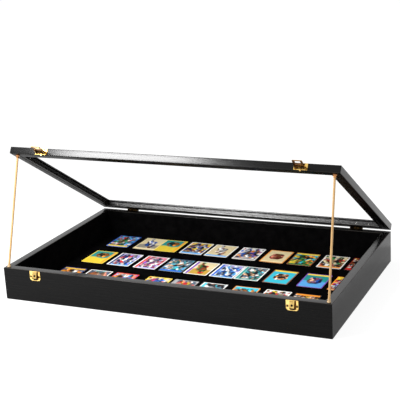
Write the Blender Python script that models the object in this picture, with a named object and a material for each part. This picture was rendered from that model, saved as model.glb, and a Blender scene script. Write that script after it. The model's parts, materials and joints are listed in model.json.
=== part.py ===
"""Sports card display case.

A shallow wooden tray with mitred walls, a felt-lined inside and a glazed lid.
The lid hangs on two knuckled butt hinges behind the back wall, two sheet-metal
hasps snap it shut over catch plates, and two loose wooden rods prop it open.

Frame: metres, +X to the right, +Y to the back, +Z up. The origin is the middle
of the underside. The lid stands open at LID_OPEN_DEGREES, as it is displayed.
"""

import math

import bmesh
import bpy
from mathutils import Matrix, Vector

# Case
CASE_WIDTH = 0.818
CASE_DEPTH = 0.501
CASE_HEIGHT = 0.080
WALL_THICKNESS = 0.019
ARRIS_RADIUS = 0.0012
FIT_GAP = 0.0003
CUT_OVERRUN = 0.001

# Bottom and linings
PANEL_THICKNESS = 0.006
PANEL_LEDGE = 0.008
PAD_THICKNESS = 0.003
LINING_THICKNESS = 0.0015
LINING_DROP = 0.0010

# Lid
LID_THICKNESS = 0.017
RAIL_WIDTH = 0.025
RABBET_WIDTH = 0.007
LIP_THICKNESS = 0.0032
PANE_THICKNESS = 0.003
BEAD_RECESS = 0.0006
QUIRK_DEPTH = 0.0009
QUIRK_BOTTOM = 0.0024
QUIRK_HEIGHT = 0.0018
LID_GAP = 0.0012
LID_OPEN_DEGREES = 31.5

# Butt hinges
HINGE_INSET = 0.090
HINGE_LENGTH = 0.032
LEAF_DEPTH = 0.0105
LEAF_THICKNESS = 0.0008
LEAF_SPACING = 0.0004
LEAF_CORNER = 0.0020
PIN_SETBACK = 0.0023
PIN_RADIUS = 0.0009
KNUCKLE_RADIUS = 0.0019
KNUCKLE_COUNT = 5
PIN_HEAD_RADIUS = 0.0016
PIN_HEAD_LENGTH = 0.0010

# Hasps on the lid
HASP_INSET = 0.088
HASP_PLATE_WIDTH = 0.031
HASP_PLATE_HEIGHT = 0.0155
HASP_PLATE_RISE = 0.0010
PLATE_CORNER = 0.0008
SHEET_THICKNESS = 0.0009
TAB_RADIUS = 0.0026
EAR_BOTTOM = 0.0024
EAR_TOP = 0.0090
EAR_CORNER = 0.0024
EAR_MARGIN = 0.0026
HASP_PIVOT_OUT = 0.0054
HASP_PIVOT_UP = 0.0056
HASP_OPEN_DEGREES = {"left": 5, "right": 11}
HASP_WIDTH = 0.0230
HASP_HEEL = 0.0020
HASP_SHEET_RISE = 0.0015
HASP_FLANGE_RUN = 0.0150
HASP_LIP_DEPTH = 0.0008
HASP_WINDOW_WIDTH = 0.0124
HASP_WINDOW_LENGTH = 0.0085
HASP_WINDOW_CORNER = 0.0010
HASP_BAR_LENGTH = 0.0036
HASP_TIP_CORNER = 0.0022
HASP_PIN_RADIUS = 0.0010
HASP_PIN_HEAD_RADIUS = 0.0018
HASP_PIN_HEAD_HEIGHT = 0.0008

# Catch plates on the front wall
CATCH_WIDTH = 0.028
CATCH_HEIGHT = 0.0235
CATCH_DROP = 0.0006
CATCH_CORNER = 0.0060
TONGUE_WIDTH = 0.0116
TONGUE_RISE = 0.0042
TONGUE_LENGTH = 0.0164
TONGUE_TOP_MARGIN = 0.0016
TONGUE_HOLE_DROP = 0.0095
TONGUE_HOLE_RADIUS = 0.0020
CATCH_SLOT_HEIGHT = 0.0040
HOOK_OVERLAP = 0.0010

# Nails, screws and brads
NAIL_HEAD_RADIUS = 0.0015
NAIL_HEAD_HEIGHT = 0.0008
NAIL_SHANK_RADIUS = 0.0006
NAIL_LENGTH = 0.0090
CATCH_NAIL_SPREAD = 0.0110
CATCH_NAIL_HEIGHT = 0.0100
HASP_NAIL_SPREAD = 0.0078
HASP_NAIL_MARGIN = 0.0026
SCREW_HEAD_RADIUS = 0.0021
SCREW_HEAD_DEPTH = 0.0007
SCREW_SHANK_RADIUS = 0.0010
SCREW_LENGTH = 0.0110
SCREW_SPREAD = 0.0100
SCREW_MARGIN = 0.0055
BRAD_HEAD_RADIUS = 0.0010
BRAD_HEAD_HEIGHT = 0.0003
BRAD_SHANK_RADIUS = 0.0005
BRAD_LENGTH = 0.0140
BRAD_HEIGHT = 0.0054
BRAD_END_MARGIN = 0.052

# Prop rods
ROD_RADIUS = 0.0025
FERRULE_WALL = 0.0008
CAP_LENGTH = 0.0065
CAP_INSET = 0.0154
CAP_FLANGE_RADIUS = 0.0052
CAP_FLANGE_THICKNESS = 0.0012
FOOT_LENGTH = 0.0060
FOOT_FLARE = 0.0010
FOOT_END = 0.0022
FERRULE_BORE_DEPTH = 0.0040
TIP_PIVOT_FORWARD = 0.012
TIPPED_CLEARANCE = 0.0010

# Roundness of the small turned and bent shapes
ARC_STEPS = 4
KNUCKLE_STEPS = 24
FASTENER_STEPS = 10
ROD_STEPS = 20

HALF_WIDTH = CASE_WIDTH / 2
HALF_DEPTH = CASE_DEPTH / 2
MITRE_PULLBACK = FIT_GAP / math.sqrt(2)
PAD_BOTTOM = PANEL_THICKNESS + FIT_GAP
PAD_TOP = PAD_BOTTOM + PAD_THICKNESS
LID_BOTTOM = CASE_HEIGHT + LID_GAP
PIN_Y = HALF_DEPTH + PIN_SETBACK
PIN_Z = CASE_HEIGHT + LID_GAP / 2
LEAF_SEAT = LEAF_SPACING / 2 + LEAF_THICKNESS
PANE_TOP = LID_THICKNESS - LIP_THICKNESS - FIT_GAP
PANE_BOTTOM = PANE_TOP - PANE_THICKNESS
BEAD_TOP = PANE_BOTTOM - FIT_GAP
PLATE_BACK = FIT_GAP
PLATE_FACE = PLATE_BACK + SHEET_THICKNESS
CATCH_TOP = CASE_HEIGHT - CATCH_DROP
CATCH_BOTTOM = CATCH_TOP - CATCH_HEIGHT
TONGUE_TOP = CATCH_TOP - TONGUE_TOP_MARGIN
TONGUE_BOTTOM = TONGUE_TOP - TONGUE_LENGTH
HASP_TOP = HASP_SHEET_RISE + SHEET_THICKNESS
EAR_INNER = HASP_WIDTH / 2 + FIT_GAP
EAR_OUTER = EAR_INNER + SHEET_THICKNESS
PROP_BORE = ROD_RADIUS + FIT_GAP
PROP_SLEEVE = PROP_BORE + FERRULE_WALL
PROP_FLARE = PROP_SLEEVE + FOOT_FLARE
LID_PIVOT = Vector((0, PIN_Y, PIN_Z))
LID_TURN = Matrix.Rotation(math.radians(-LID_OPEN_DEGREES), 4, "X")
SIDE_SIGNS = {"left": -1, "right": 1}

# The sides of a mitred frame, a quarter turn about Z apart
SIDES = ("front", "right", "back", "left")


# Scene and materials

def clear_scene():
    for item in list(bpy.data.objects):
        bpy.data.objects.remove(item, do_unlink=True)


def principled(name, colour, roughness, metallic=0.0, transmission=0.0):
    material = bpy.data.materials.new(name)
    material.use_nodes = True
    material.diffuse_color = (*colour, 1.0)
    shader = material.node_tree.nodes["Principled BSDF"]
    shader.inputs["Base Color"].default_value = (*colour, 1.0)
    shader.inputs["Roughness"].default_value = roughness
    shader.inputs["Metallic"].default_value = metallic
    shader.inputs["Transmission Weight"].default_value = transmission
    return material


def make_materials():
    return {
        "paint": principled("black_satin_paint", (0.020, 0.020, 0.021), 0.38),
        "panel": principled("black_board", (0.030, 0.030, 0.030), 0.7),
        "felt": principled("black_felt", (0.006, 0.006, 0.007), 0.95),
        "brass": principled("polished_brass", (0.83, 0.60, 0.22), 0.18, 1.0),
        "steel": principled("bright_steel", (0.62, 0.62, 0.60), 0.3, 1.0),
        "pane": principled("clear_pane", (0.95, 0.97, 0.97), 0.03, 0.0, 1.0),
        "wood": principled("pale_dowel", (0.78, 0.56, 0.30), 0.5),
        "copper": principled("copper_ferrule", (0.72, 0.36, 0.16), 0.35, 1.0),
        "tan": principled("tan_ferrule", (0.60, 0.42, 0.22), 0.5),
        "card": principled("printed_card", (0.80, 0.78, 0.72), 0.35),
    }


# Objects

def add_object(name, bm, material, parent=None, smooth_degrees=None):
    bmesh.ops.recalc_face_normals(bm, faces=bm.faces)
    mesh = bpy.data.meshes.new(name)
    bm.to_mesh(mesh)
    bm.free()
    if smooth_degrees is not None:
        mesh.shade_smooth()
        mesh.set_sharp_from_angle(angle=math.radians(smooth_degrees))
    if material is not None:
        mesh.materials.append(material)
    item = bpy.data.objects.new(name, mesh)
    bpy.context.scene.collection.objects.link(item)
    item.parent = parent
    return item


def add_guide(name, bm, parent=None):
    guide = add_object(name, bm, None, parent)
    guide.hide_render = True
    guide.display_type = "WIRE"
    return guide


def add_axis(name, place, parent=None):
    axis = bpy.data.objects.new(name, None)
    axis.location = place
    axis.parent = parent
    bpy.context.scene.collection.objects.link(axis)
    return axis


def carve(target, guide, operation="DIFFERENCE"):
    change = target.modifiers.new(f"{operation.lower()}_{guide.name}", "BOOLEAN")
    change.object = guide
    change.operation = operation
    change.solver = "EXACT"


# Shapes

def rounded_outline(corners, steps=ARC_STEPS):
    """Points of a closed outline whose corners (a, b, radius) are rounded by arcs."""
    points = []
    count = len(corners)
    for index, (a, b, radius) in enumerate(corners):
        here = Vector((a, b))
        if radius == 0:
            points.append(here)
            continue
        before = (Vector(corners[index - 1][:2]) - here).normalized()
        after = (Vector(corners[(index + 1) % count][:2]) - here).normalized()
        half_angle = before.angle(after) / 2
        centre = here + (before + after).normalized() * (radius / math.sin(half_angle))
        start = here + before * (radius / math.tan(half_angle)) - centre
        end = here + after * (radius / math.tan(half_angle)) - centre
        sweep = start.angle_signed(end)
        for step in range(steps + 1):
            turn = Matrix.Rotation(-sweep * step / steps, 2)
            points.append(centre + turn @ start)
    return points


def bridge_rings(bm, first, second):
    count = len(first)
    for index in range(count):
        following = (index + 1) % count
        bm.faces.new((first[index], first[following], second[following], second[index]))


def prism(bm, outline, to_point, low, high):
    """An outline extruded from low to high; to_point turns (a, b, c) into a place."""
    rings = [[bm.verts.new(to_point(a, b, c)) for a, b in outline] for c in (low, high)]
    bridge_rings(bm, rings[0], rings[1])
    bm.faces.new(rings[0])
    bm.faces.new(rings[1])
    return bm


def along_x(a, b, c):
    return Vector((c, a, b))


def along_y(a, b, c):
    return Vector((a, c, b))


def along_z(a, b, c):
    return Vector((a, b, c))


def box(bm, low, high):
    outline = [(low[0], low[1]), (high[0], low[1]), (high[0], high[1]), (low[0], high[1])]
    return prism(bm, outline, along_z, low[2], high[2])


def turned(bm, profile, steps, place=Matrix()):
    """A profile of (radius, height) turned about Z; radius 0 closes it at a pole."""
    rings = []
    for radius, height in profile:
        if radius == 0:
            rings.append([bm.verts.new(place @ Vector((0, 0, height)))])
            continue
        ring = []
        for step in range(steps):
            angle = math.tau * step / steps
            spot = Vector((radius * math.cos(angle), radius * math.sin(angle), height))
            ring.append(bm.verts.new(place @ spot))
        rings.append(ring)
    for upper, lower in zip(rings, rings[1:]):
        for step in range(steps):
            following = (step + 1) % steps
            if len(upper) == 1:
                bm.faces.new((upper[0], lower[step], lower[following]))
            elif len(lower) == 1:
                bm.faces.new((upper[step], lower[0], upper[following]))
            else:
                bm.faces.new((upper[step], lower[step], lower[following], upper[following]))
    return bm


def rod_profile(radius, low, high):
    return [(0, high), (radius, high), (radius, low), (0, low)]


def cut_flat(bm, point, normal):
    """Cut the mesh with a plane, drop what lies on the normal's side and close it."""
    geometry = bm.verts[:] + bm.edges[:] + bm.faces[:]
    cut = bmesh.ops.bisect_plane(
        bm, geom=geometry, plane_co=point, plane_no=normal, clear_outer=True
    )
    edges = [item for item in cut["geom_cut"] if isinstance(item, bmesh.types.BMEdge)]
    bmesh.ops.contextual_create(bm, geom=edges)
    return bm


# Mitred frames

def mitred_bar(outline, span):
    """A bar along X whose (inward, height) section runs between two 45 degree mitres."""
    bm = bmesh.new()
    rings = []
    for sign in (-1, 1):
        ring = []
        for inward, height in outline:
            reach = span / 2 - inward - MITRE_PULLBACK
            ring.append(bm.verts.new((sign * reach, inward, height)))
        rings.append(ring)
    bridge_rings(bm, rings[0], rings[1])
    bm.faces.new(rings[0])
    bm.faces.new(rings[1])
    return bm


def side_size(side):
    """A side's own length and the distance across the case from it."""
    along = (CASE_WIDTH, CASE_DEPTH)
    return along if side in ("front", "back") else along[::-1]


def side_turn(side):
    return Matrix.Rotation(SIDES.index(side) * math.pi / 2, 4, "Z")


def place_side(item, side, offset=Vector()):
    """Turn a bar made for the front onto its side of the frame."""
    across = side_size(side)[1]
    turn = side_turn(side)
    item.location = turn @ Vector((0, -across / 2, 0)) + offset
    item.rotation_euler = turn.to_euler()
    return item


def wall_outline():
    ledge_height = PANEL_THICKNESS + FIT_GAP
    return rounded_outline([
        (0, 0, ARRIS_RADIUS),
        (0, CASE_HEIGHT, ARRIS_RADIUS),
        (WALL_THICKNESS, CASE_HEIGHT, ARRIS_RADIUS),
        (WALL_THICKNESS, ledge_height, 0),
        (WALL_THICKNESS - PANEL_LEDGE, ledge_height, 0),
        (WALL_THICKNESS - PANEL_LEDGE, 0, 0),
    ])


def rail_outline():
    rabbet = RAIL_WIDTH - RABBET_WIDTH
    rabbet_top = LID_THICKNESS - LIP_THICKNESS
    return rounded_outline([
        (0, 0, ARRIS_RADIUS),
        (0, LID_THICKNESS, ARRIS_RADIUS),
        (RAIL_WIDTH, LID_THICKNESS, ARRIS_RADIUS),
        (RAIL_WIDTH, rabbet_top, 0),
        (rabbet, rabbet_top, 0),
        (rabbet, 0, ARRIS_RADIUS / 2),
    ])


def bead_outline():
    outer = RAIL_WIDTH - RABBET_WIDTH + FIT_GAP
    quirk_top = QUIRK_BOTTOM + QUIRK_HEIGHT
    return rounded_outline([
        (outer, BEAD_RECESS, 0),
        (outer, BEAD_TOP, 0),
        (RAIL_WIDTH, BEAD_TOP, QUIRK_DEPTH / 2),
        (RAIL_WIDTH, quirk_top, 0),
        (RAIL_WIDTH - QUIRK_DEPTH, quirk_top, 0),
        (RAIL_WIDTH - QUIRK_DEPTH, QUIRK_BOTTOM, 0),
        (RAIL_WIDTH, QUIRK_BOTTOM, 0),
        (RAIL_WIDTH, BEAD_RECESS, QUIRK_DEPTH / 2),
    ])


def build_walls(paint):
    walls = {}
    for side in SIDES:
        item = add_object(f"{side}_wall", mitred_bar(wall_outline(), side_size(side)[0]), paint)
        walls[side] = place_side(item, side)
    return walls


def build_lid_frame(paint, lid_axis):
    rails = {}
    beads = {}
    offset = Vector((0, 0, LID_BOTTOM)) - LID_PIVOT
    for side in SIDES:
        span = side_size(side)[0]
        rail = add_object(f"lid_{side}_rail", mitred_bar(rail_outline(), span), paint, lid_axis)
        bead = add_object(f"bead_{side}", mitred_bar(bead_outline(), span), paint, lid_axis)
        rails[side] = place_side(rail, side, offset)
        beads[side] = place_side(bead, side, offset)
    return rails, beads


# Bottom, linings and pane

def build_bottom(materials):
    inset = WALL_THICKNESS - PANEL_LEDGE + FIT_GAP
    x, y = HALF_WIDTH - inset, HALF_DEPTH - inset
    panel = box(bmesh.new(), (-x, -y, 0), (x, y, PANEL_THICKNESS))
    add_object("bottom_panel", panel, materials["panel"])
    x, y = HALF_WIDTH - WALL_THICKNESS - FIT_GAP, HALF_DEPTH - WALL_THICKNESS - FIT_GAP
    pad = box(bmesh.new(), (-x, -y, PAD_BOTTOM), (x, y, PAD_TOP))
    add_object("felt_floor_pad", pad, materials["felt"])


def build_wall_lining(felt):
    """One strip of felt round all four walls; its ends butt in the back right corner."""
    inset = WALL_THICKNESS + FIT_GAP
    x, y = HALF_WIDTH - inset, HALF_DEPTH - inset
    inner_x, inner_y = x - LINING_THICKNESS, y - LINING_THICKNESS
    seam = inner_y - FIT_GAP
    outline = [
        (x, y), (-x, y), (-x, -y), (x, -y), (x, seam),
        (inner_x, seam), (inner_x, -inner_y), (-inner_x, -inner_y), (-inner_x, inner_y), (x, inner_y),
    ]
    strip = prism(bmesh.new(), outline, along_z, PAD_TOP + FIT_GAP, CASE_HEIGHT - LINING_DROP)
    add_object("felt_wall_lining", strip, felt)


def build_pane(material, lid_axis):
    inset = RAIL_WIDTH - RABBET_WIDTH + FIT_GAP
    x, y = HALF_WIDTH - inset, HALF_DEPTH - inset
    pane = box(bmesh.new(), (-x, -y, PANE_BOTTOM), (x, y, PANE_TOP))
    item = add_object("lid_pane", pane, material, lid_axis)
    item.location = Vector((0, 0, LID_BOTTOM)) - LID_PIVOT


# Fasteners

def dome_profile(head_radius, head_height, shank_radius, length):
    """A domed head standing on z = 0 with its pointed shank below."""
    profile = []
    for step in range(ARC_STEPS):
        angle = math.pi / 2 * step / ARC_STEPS
        profile.append((head_radius * math.sin(angle), head_height * math.cos(angle)))
    point = shank_radius * 2
    return profile + [
        (head_radius, 0),
        (shank_radius, 0),
        (shank_radius, point - length),
        (0, -length),
    ]


def countersunk_profile(grow=0):
    """A flat-headed screw whose head top lies at z = 0, wider all round by grow."""
    head = SCREW_HEAD_RADIUS + grow
    shank = SCREW_SHANK_RADIUS + grow
    top = CUT_OVERRUN if grow else 0
    head_rim = [(head, top), (head, 0)] if grow else [(head, 0)]
    return [(0, top), *head_rim, (shank, -SCREW_HEAD_DEPTH - grow), (shank, -SCREW_LENGTH), (0, -SCREW_LENGTH - shank)]


def add_fasteners(name, spots, profile, material, parent=None):
    """The same fastener at each spot, numbered from 1."""
    mesh = None
    for number, spot in enumerate(spots, 1):
        if mesh is None:
            bm = turned(bmesh.new(), profile, FASTENER_STEPS)
            item = add_object(f"{name}_{number}", bm, material, parent, smooth_degrees=50)
            mesh = item.data
        else:
            item = bpy.data.objects.new(f"{name}_{number}", mesh)
            bpy.context.scene.collection.objects.link(item)
            item.parent = parent
        item.matrix_local = spot


def drill(name, spots, profile, targets, parent=None):
    bm = bmesh.new()
    for spot in spots:
        turned(bm, profile, FASTENER_STEPS, spot)
    guide = add_guide(name, bm, parent)
    for target in targets:
        carve(target, guide)


def facing(direction, place):
    """A frame at place whose Z axis points along direction."""
    return Matrix.Translation(place) @ Vector(direction).to_track_quat("Z", "X").to_matrix().to_4x4()


def hole_profile(shank_radius, length):
    return rod_profile(shank_radius + FIT_GAP, -length - FIT_GAP, CUT_OVERRUN)


# Butt hinges

def knuckle_span(index):
    """Start and end along X of one knuckle, counted from the hinge's left end."""
    pitch = (HINGE_LENGTH + FIT_GAP) / KNUCKLE_COUNT
    start = index * pitch - HINGE_LENGTH / 2
    return start, start + pitch - FIT_GAP


def axle(bm, radius, start, end):
    return turned(bm, rod_profile(radius, start, end), KNUCKLE_STEPS, Matrix.Rotation(math.pi / 2, 4, "Y"))


def build_leaf(name, brass, parent, place, upward, own_knuckles):
    """One leaf about its own pin line; upward is 1 where it lies under the pin, else -1."""
    low = -LEAF_SEAT
    high = -LEAF_SPACING / 2
    back_edge = -KNUCKLE_RADIUS * math.cos(math.asin(max(-high, 0) / KNUCKLE_RADIUS)) - FIT_GAP
    relief = 2 * FIT_GAP
    half = HINGE_LENGTH / 2 - FIT_GAP
    front_edge = -PIN_SETBACK - LEAF_DEPTH
    outline = rounded_outline([
        (-half, 0, 0),
        (-half, front_edge, LEAF_CORNER),
        (half, front_edge, LEAF_CORNER),
        (half, 0, 0),
    ])
    heights = sorted((low * upward, high * upward))
    leaf = add_object(name, prism(bmesh.new(), outline, along_z, *heights), brass, parent, 40)
    leaf.location = place
    knuckles = bmesh.new()
    reliefs = bmesh.new()
    bore = bmesh.new()
    for index in range(KNUCKLE_COUNT):
        start, end = knuckle_span(index)
        if index in own_knuckles:
            axle(knuckles, KNUCKLE_RADIUS, start, end)
        else:
            box(reliefs, (start - relief, back_edge, -KNUCKLE_RADIUS), (end + relief, CUT_OVERRUN, KNUCKLE_RADIUS))
    axle(bore, PIN_RADIUS + FIT_GAP, -half - CUT_OVERRUN, half + CUT_OVERRUN)
    for label, bm, operation in (
        ("reliefs", reliefs, "DIFFERENCE"),
        ("knuckles", knuckles, "UNION"),
        ("bore", bore, "DIFFERENCE"),
    ):
        guide = add_guide(f"{name}_{label}", bm, parent)
        guide.location = place
        carve(leaf, guide, operation)
    return leaf


def hinge_screw_spots(x, upward):
    """Two screws through a leaf, in coordinates about the pin line."""
    face = -LEAF_SPACING / 2 * upward
    y = -PIN_SETBACK - LEAF_DEPTH + SCREW_MARGIN
    return [facing((0, 0, upward), Vector((x + sign * SCREW_SPREAD, y, face))) for sign in (-1, 1)]


def let_in_leaf(name, wood, parent, place, upward):
    """Sink the recess that a leaf lies in, a gap wider than the leaf all round."""
    half = HINGE_LENGTH / 2 + FIT_GAP
    front = -PIN_SETBACK - LEAF_DEPTH - FIT_GAP
    heights = sorted(((-LEAF_SEAT - FIT_GAP) * upward, 0))
    guide = add_guide(f"{name}_recess", box(bmesh.new(), (-half, front, heights[0]), (half, 0, heights[1])), parent)
    guide.location = place
    carve(wood, guide)


def build_hinges(materials, walls, rails, pin_axis, lid_axis):
    brass = materials["brass"]
    outer = range(0, KNUCKLE_COUNT, 2)
    inner = range(1, KNUCKLE_COUNT, 2)
    base_spots, lid_spots, base_leaves, lid_leaves = [], [], [], []
    for side, sign in SIDE_SIGNS.items():
        x = sign * (HALF_WIDTH - HINGE_INSET)
        base_place = LID_PIVOT + Vector((x, 0, 0))
        base_leaves.append(build_leaf(f"hinge_base_leaf_{side}", brass, None, base_place, 1, outer))
        lid_leaves.append(build_leaf(f"hinge_lid_leaf_{side}", brass, lid_axis, (x, 0, 0), -1, inner))
        let_in_leaf(f"hinge_base_leaf_{side}", walls["back"], None, base_place, 1)
        let_in_leaf(f"hinge_lid_leaf_{side}", rails["back"], lid_axis, (x, 0, 0), -1)
        base_spots += [Matrix.Translation(LID_PIVOT) @ spot for spot in hinge_screw_spots(x, 1)]
        lid_spots += hinge_screw_spots(x, -1)
        build_hinge_pin(f"hinge_pin_{side}", materials["steel"], pin_axis, x)
    cutter = countersunk_profile(FIT_GAP)
    add_fasteners("hinge_base_screw", base_spots, countersunk_profile(), brass)
    add_fasteners("hinge_lid_screw", lid_spots, countersunk_profile(), brass, lid_axis)
    drill("hinge_base_screw_holes", base_spots, cutter, [*base_leaves, walls["back"]])
    drill("hinge_lid_screw_holes", lid_spots, cutter, [*lid_leaves, rails["back"]], lid_axis)


def build_hinge_pin(name, steel, pin_axis, x):
    half = HINGE_LENGTH / 2 + FIT_GAP
    profile = [
        (0, half + PIN_HEAD_LENGTH),
        (PIN_HEAD_RADIUS, half + PIN_HEAD_LENGTH),
        (PIN_HEAD_RADIUS, half),
        (PIN_RADIUS, half),
        (PIN_RADIUS, -half),
        (0, -half),
    ]
    pin = turned(bmesh.new(), profile, KNUCKLE_STEPS, Matrix.Rotation(math.pi / 2, 4, "Y"))
    item = add_object(name, pin, steel, pin_axis, smooth_degrees=40)
    item.location = (x, 0, 0)


# Catch plates

def tongue_reach(height, inset=0):
    """How far out the tongue's sloping skin, or a layer inset under it, stands at a height."""
    return PLATE_FACE - inset + TONGUE_RISE * (TONGUE_TOP - height) / TONGUE_LENGTH


def tongue_outline(inset, bottom, back):
    """Side view (height, outward) of the wedge-shaped tongue, drawn in from its skin by inset."""
    meets_back = TONGUE_TOP - (back - PLATE_FACE + inset) * TONGUE_LENGTH / TONGUE_RISE
    return [(bottom, back), (bottom, tongue_reach(bottom, inset)), (meets_back, back)]


def hook_outline():
    """Side view of the notch in the tongue's two flanks that lets the hasp's bar in."""
    low = TONGUE_BOTTOM - CUT_OVERRUN
    high = TONGUE_BOTTOM + HOOK_OVERLAP + 2 * FIT_GAP
    inset = SHEET_THICKNESS + FIT_GAP / 2
    return [
        (low, PLATE_FACE),
        (low, tongue_reach(low, inset)),
        (high, tongue_reach(high, inset)),
        (high, PLATE_FACE),
    ]


def toward_front(height, outward, along):
    return Vector((along, -outward, height))


def build_catch_plate(side, x, brass):
    """A plate whose middle is pressed out into a tongue, open below for the hasp's bar."""
    half = CATCH_WIDTH / 2
    outline = rounded_outline([
        (-half, CATCH_BOTTOM, CATCH_CORNER),
        (half, CATCH_BOTTOM, CATCH_CORNER),
        (half, CATCH_TOP, PLATE_CORNER),
        (-half, CATCH_TOP, PLATE_CORNER),
    ])
    name = f"catch_plate_{side}"
    bm = prism(bmesh.new(), outline, along_y, -PLATE_BACK, -PLATE_FACE)
    plate = add_object(name, bm, brass, None, smooth_degrees=40)
    plate.location = (x, -HALF_DEPTH, 0)

    skin = bmesh.new()
    skin_half = TONGUE_WIDTH / 2
    middle = (PLATE_BACK + PLATE_FACE) / 2
    prism(skin, tongue_outline(0, TONGUE_BOTTOM, middle), toward_front, -skin_half, skin_half)
    hollow = bmesh.new()
    hollow_half = skin_half - SHEET_THICKNESS
    low = TONGUE_BOTTOM - CATCH_SLOT_HEIGHT
    prism(hollow, tongue_outline(SHEET_THICKNESS, low, 0), toward_front, -hollow_half, hollow_half)
    hook = bmesh.new()
    hook_half = skin_half + CUT_OVERRUN
    prism(hook, hook_outline(), toward_front, -hook_half, hook_half)
    hole = bmesh.new()
    hole_place = facing((0, -1, 0), Vector((0, 0, TONGUE_TOP - TONGUE_HOLE_DROP)))
    turned(hole, rod_profile(TONGUE_HOLE_RADIUS, 0, PLATE_FACE + TONGUE_RISE), FASTENER_STEPS, hole_place)
    for label, bm, operation in (
        ("skin", skin, "UNION"),
        ("hollow", hollow, "DIFFERENCE"),
        ("hook", hook, "DIFFERENCE"),
        ("hole", hole, "DIFFERENCE"),
    ):
        guide = add_guide(f"{name}_{label}", bm)
        guide.location = plate.location
        carve(plate, guide, operation)
    return plate


def build_catch_plates(brass, walls):
    nail_spots, plates = [], []
    for side, sign in SIDE_SIGNS.items():
        x = sign * (HALF_WIDTH - HASP_INSET)
        plates.append(build_catch_plate(side, x, brass))
        for spread in (-CATCH_NAIL_SPREAD, CATCH_NAIL_SPREAD):
            spot = Vector((x + spread, -HALF_DEPTH - PLATE_FACE - FIT_GAP, CATCH_BOTTOM + CATCH_NAIL_HEIGHT))
            nail_spots.append(facing((0, -1, 0), spot))
    profile = dome_profile(NAIL_HEAD_RADIUS, NAIL_HEAD_HEIGHT, NAIL_SHANK_RADIUS, NAIL_LENGTH)
    add_fasteners("catch_nail", nail_spots, profile, brass)
    holes = hole_profile(NAIL_SHANK_RADIUS, NAIL_LENGTH)
    drill("catch_nail_holes", nail_spots, holes, [*plates, walls["front"]])


# Hasps

def hasp_reach():
    """From the hasp's pivot to the near edge of its end bar, which hooks into the tongue."""
    drop = LID_BOTTOM + HASP_PIVOT_UP - TONGUE_BOTTOM - HOOK_OVERLAP
    clear_of_skin = SHEET_THICKNESS + 2 * FIT_GAP + SHEET_THICKNESS / 2
    hook_out = PLATE_FACE + TONGUE_RISE - clear_of_skin
    sheet_middle = HASP_SHEET_RISE + SHEET_THICKNESS / 2
    return math.sqrt(drop**2 + (HASP_PIVOT_OUT - hook_out) ** 2 - sheet_middle**2)


def hasp_plate_outline():
    half = HASP_PLATE_WIDTH / 2
    low = HASP_PLATE_RISE
    high = low + HASP_PLATE_HEIGHT
    tab = [
        (TAB_RADIUS * math.cos(math.pi * step / ARC_STEPS), low - TAB_RADIUS * math.sin(math.pi * step / ARC_STEPS))
        for step in range(ARC_STEPS, -1, -1)
    ]
    return rounded_outline([
        (-half, low, PLATE_CORNER),
        *[(x, z, 0) for x, z in tab],
        (half, low, PLATE_CORNER),
        (half, high, PLATE_CORNER),
        (-half, high, PLATE_CORNER),
    ])


def ear_outline():
    """Side view (Y, Z) of an ear of the hasp's plate."""
    root = -(PLATE_BACK + PLATE_FACE) / 2
    tip = -HASP_PIVOT_OUT - EAR_MARGIN
    return rounded_outline([
        (root, EAR_BOTTOM, 0),
        (tip, EAR_BOTTOM, EAR_CORNER),
        (tip, EAR_TOP, EAR_CORNER),
        (root, EAR_TOP, 0),
    ])


def hasp_side_outline():
    """Side view (Y, Z) of the hasp about its pivot, its tip to -Y and its sheet on top."""
    tip = -hasp_reach() - HASP_BAR_LENGTH
    return rounded_outline([
        (HASP_HEEL, -HASP_HEEL, HASP_HEEL * 0.9),
        (HASP_HEEL, HASP_TOP, SHEET_THICKNESS),
        (tip, HASP_TOP, 0),
        (tip, HASP_SHEET_RISE - HASP_LIP_DEPTH, 0),
        (-HASP_FLANGE_RUN, HASP_SHEET_RISE - HASP_LIP_DEPTH, HASP_HEEL),
        (-HASP_HEEL, -HASP_HEEL, HASP_HEEL),
    ])


def hasp_top_outline():
    """Seen from above (X, Y): straight sides and a rounded tip."""
    half = HASP_WIDTH / 2
    tip = -hasp_reach() - HASP_BAR_LENGTH
    return rounded_outline([
        (-half, HASP_HEEL + CUT_OVERRUN, 0),
        (-half, tip, HASP_TIP_CORNER),
        (half, tip, HASP_TIP_CORNER),
        (half, HASP_HEEL + CUT_OVERRUN, 0),
    ])


def hasp_window_outline():
    half = HASP_WINDOW_WIDTH / 2
    far = -hasp_reach()
    near = far + HASP_WINDOW_LENGTH
    return rounded_outline([
        (-half, near, HASP_WINDOW_CORNER),
        (-half, far, HASP_WINDOW_CORNER),
        (half, far, HASP_WINDOW_CORNER),
        (half, near, HASP_WINDOW_CORNER),
    ])


def across_x():
    return Matrix.Rotation(math.pi / 2, 4, "Y")


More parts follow.
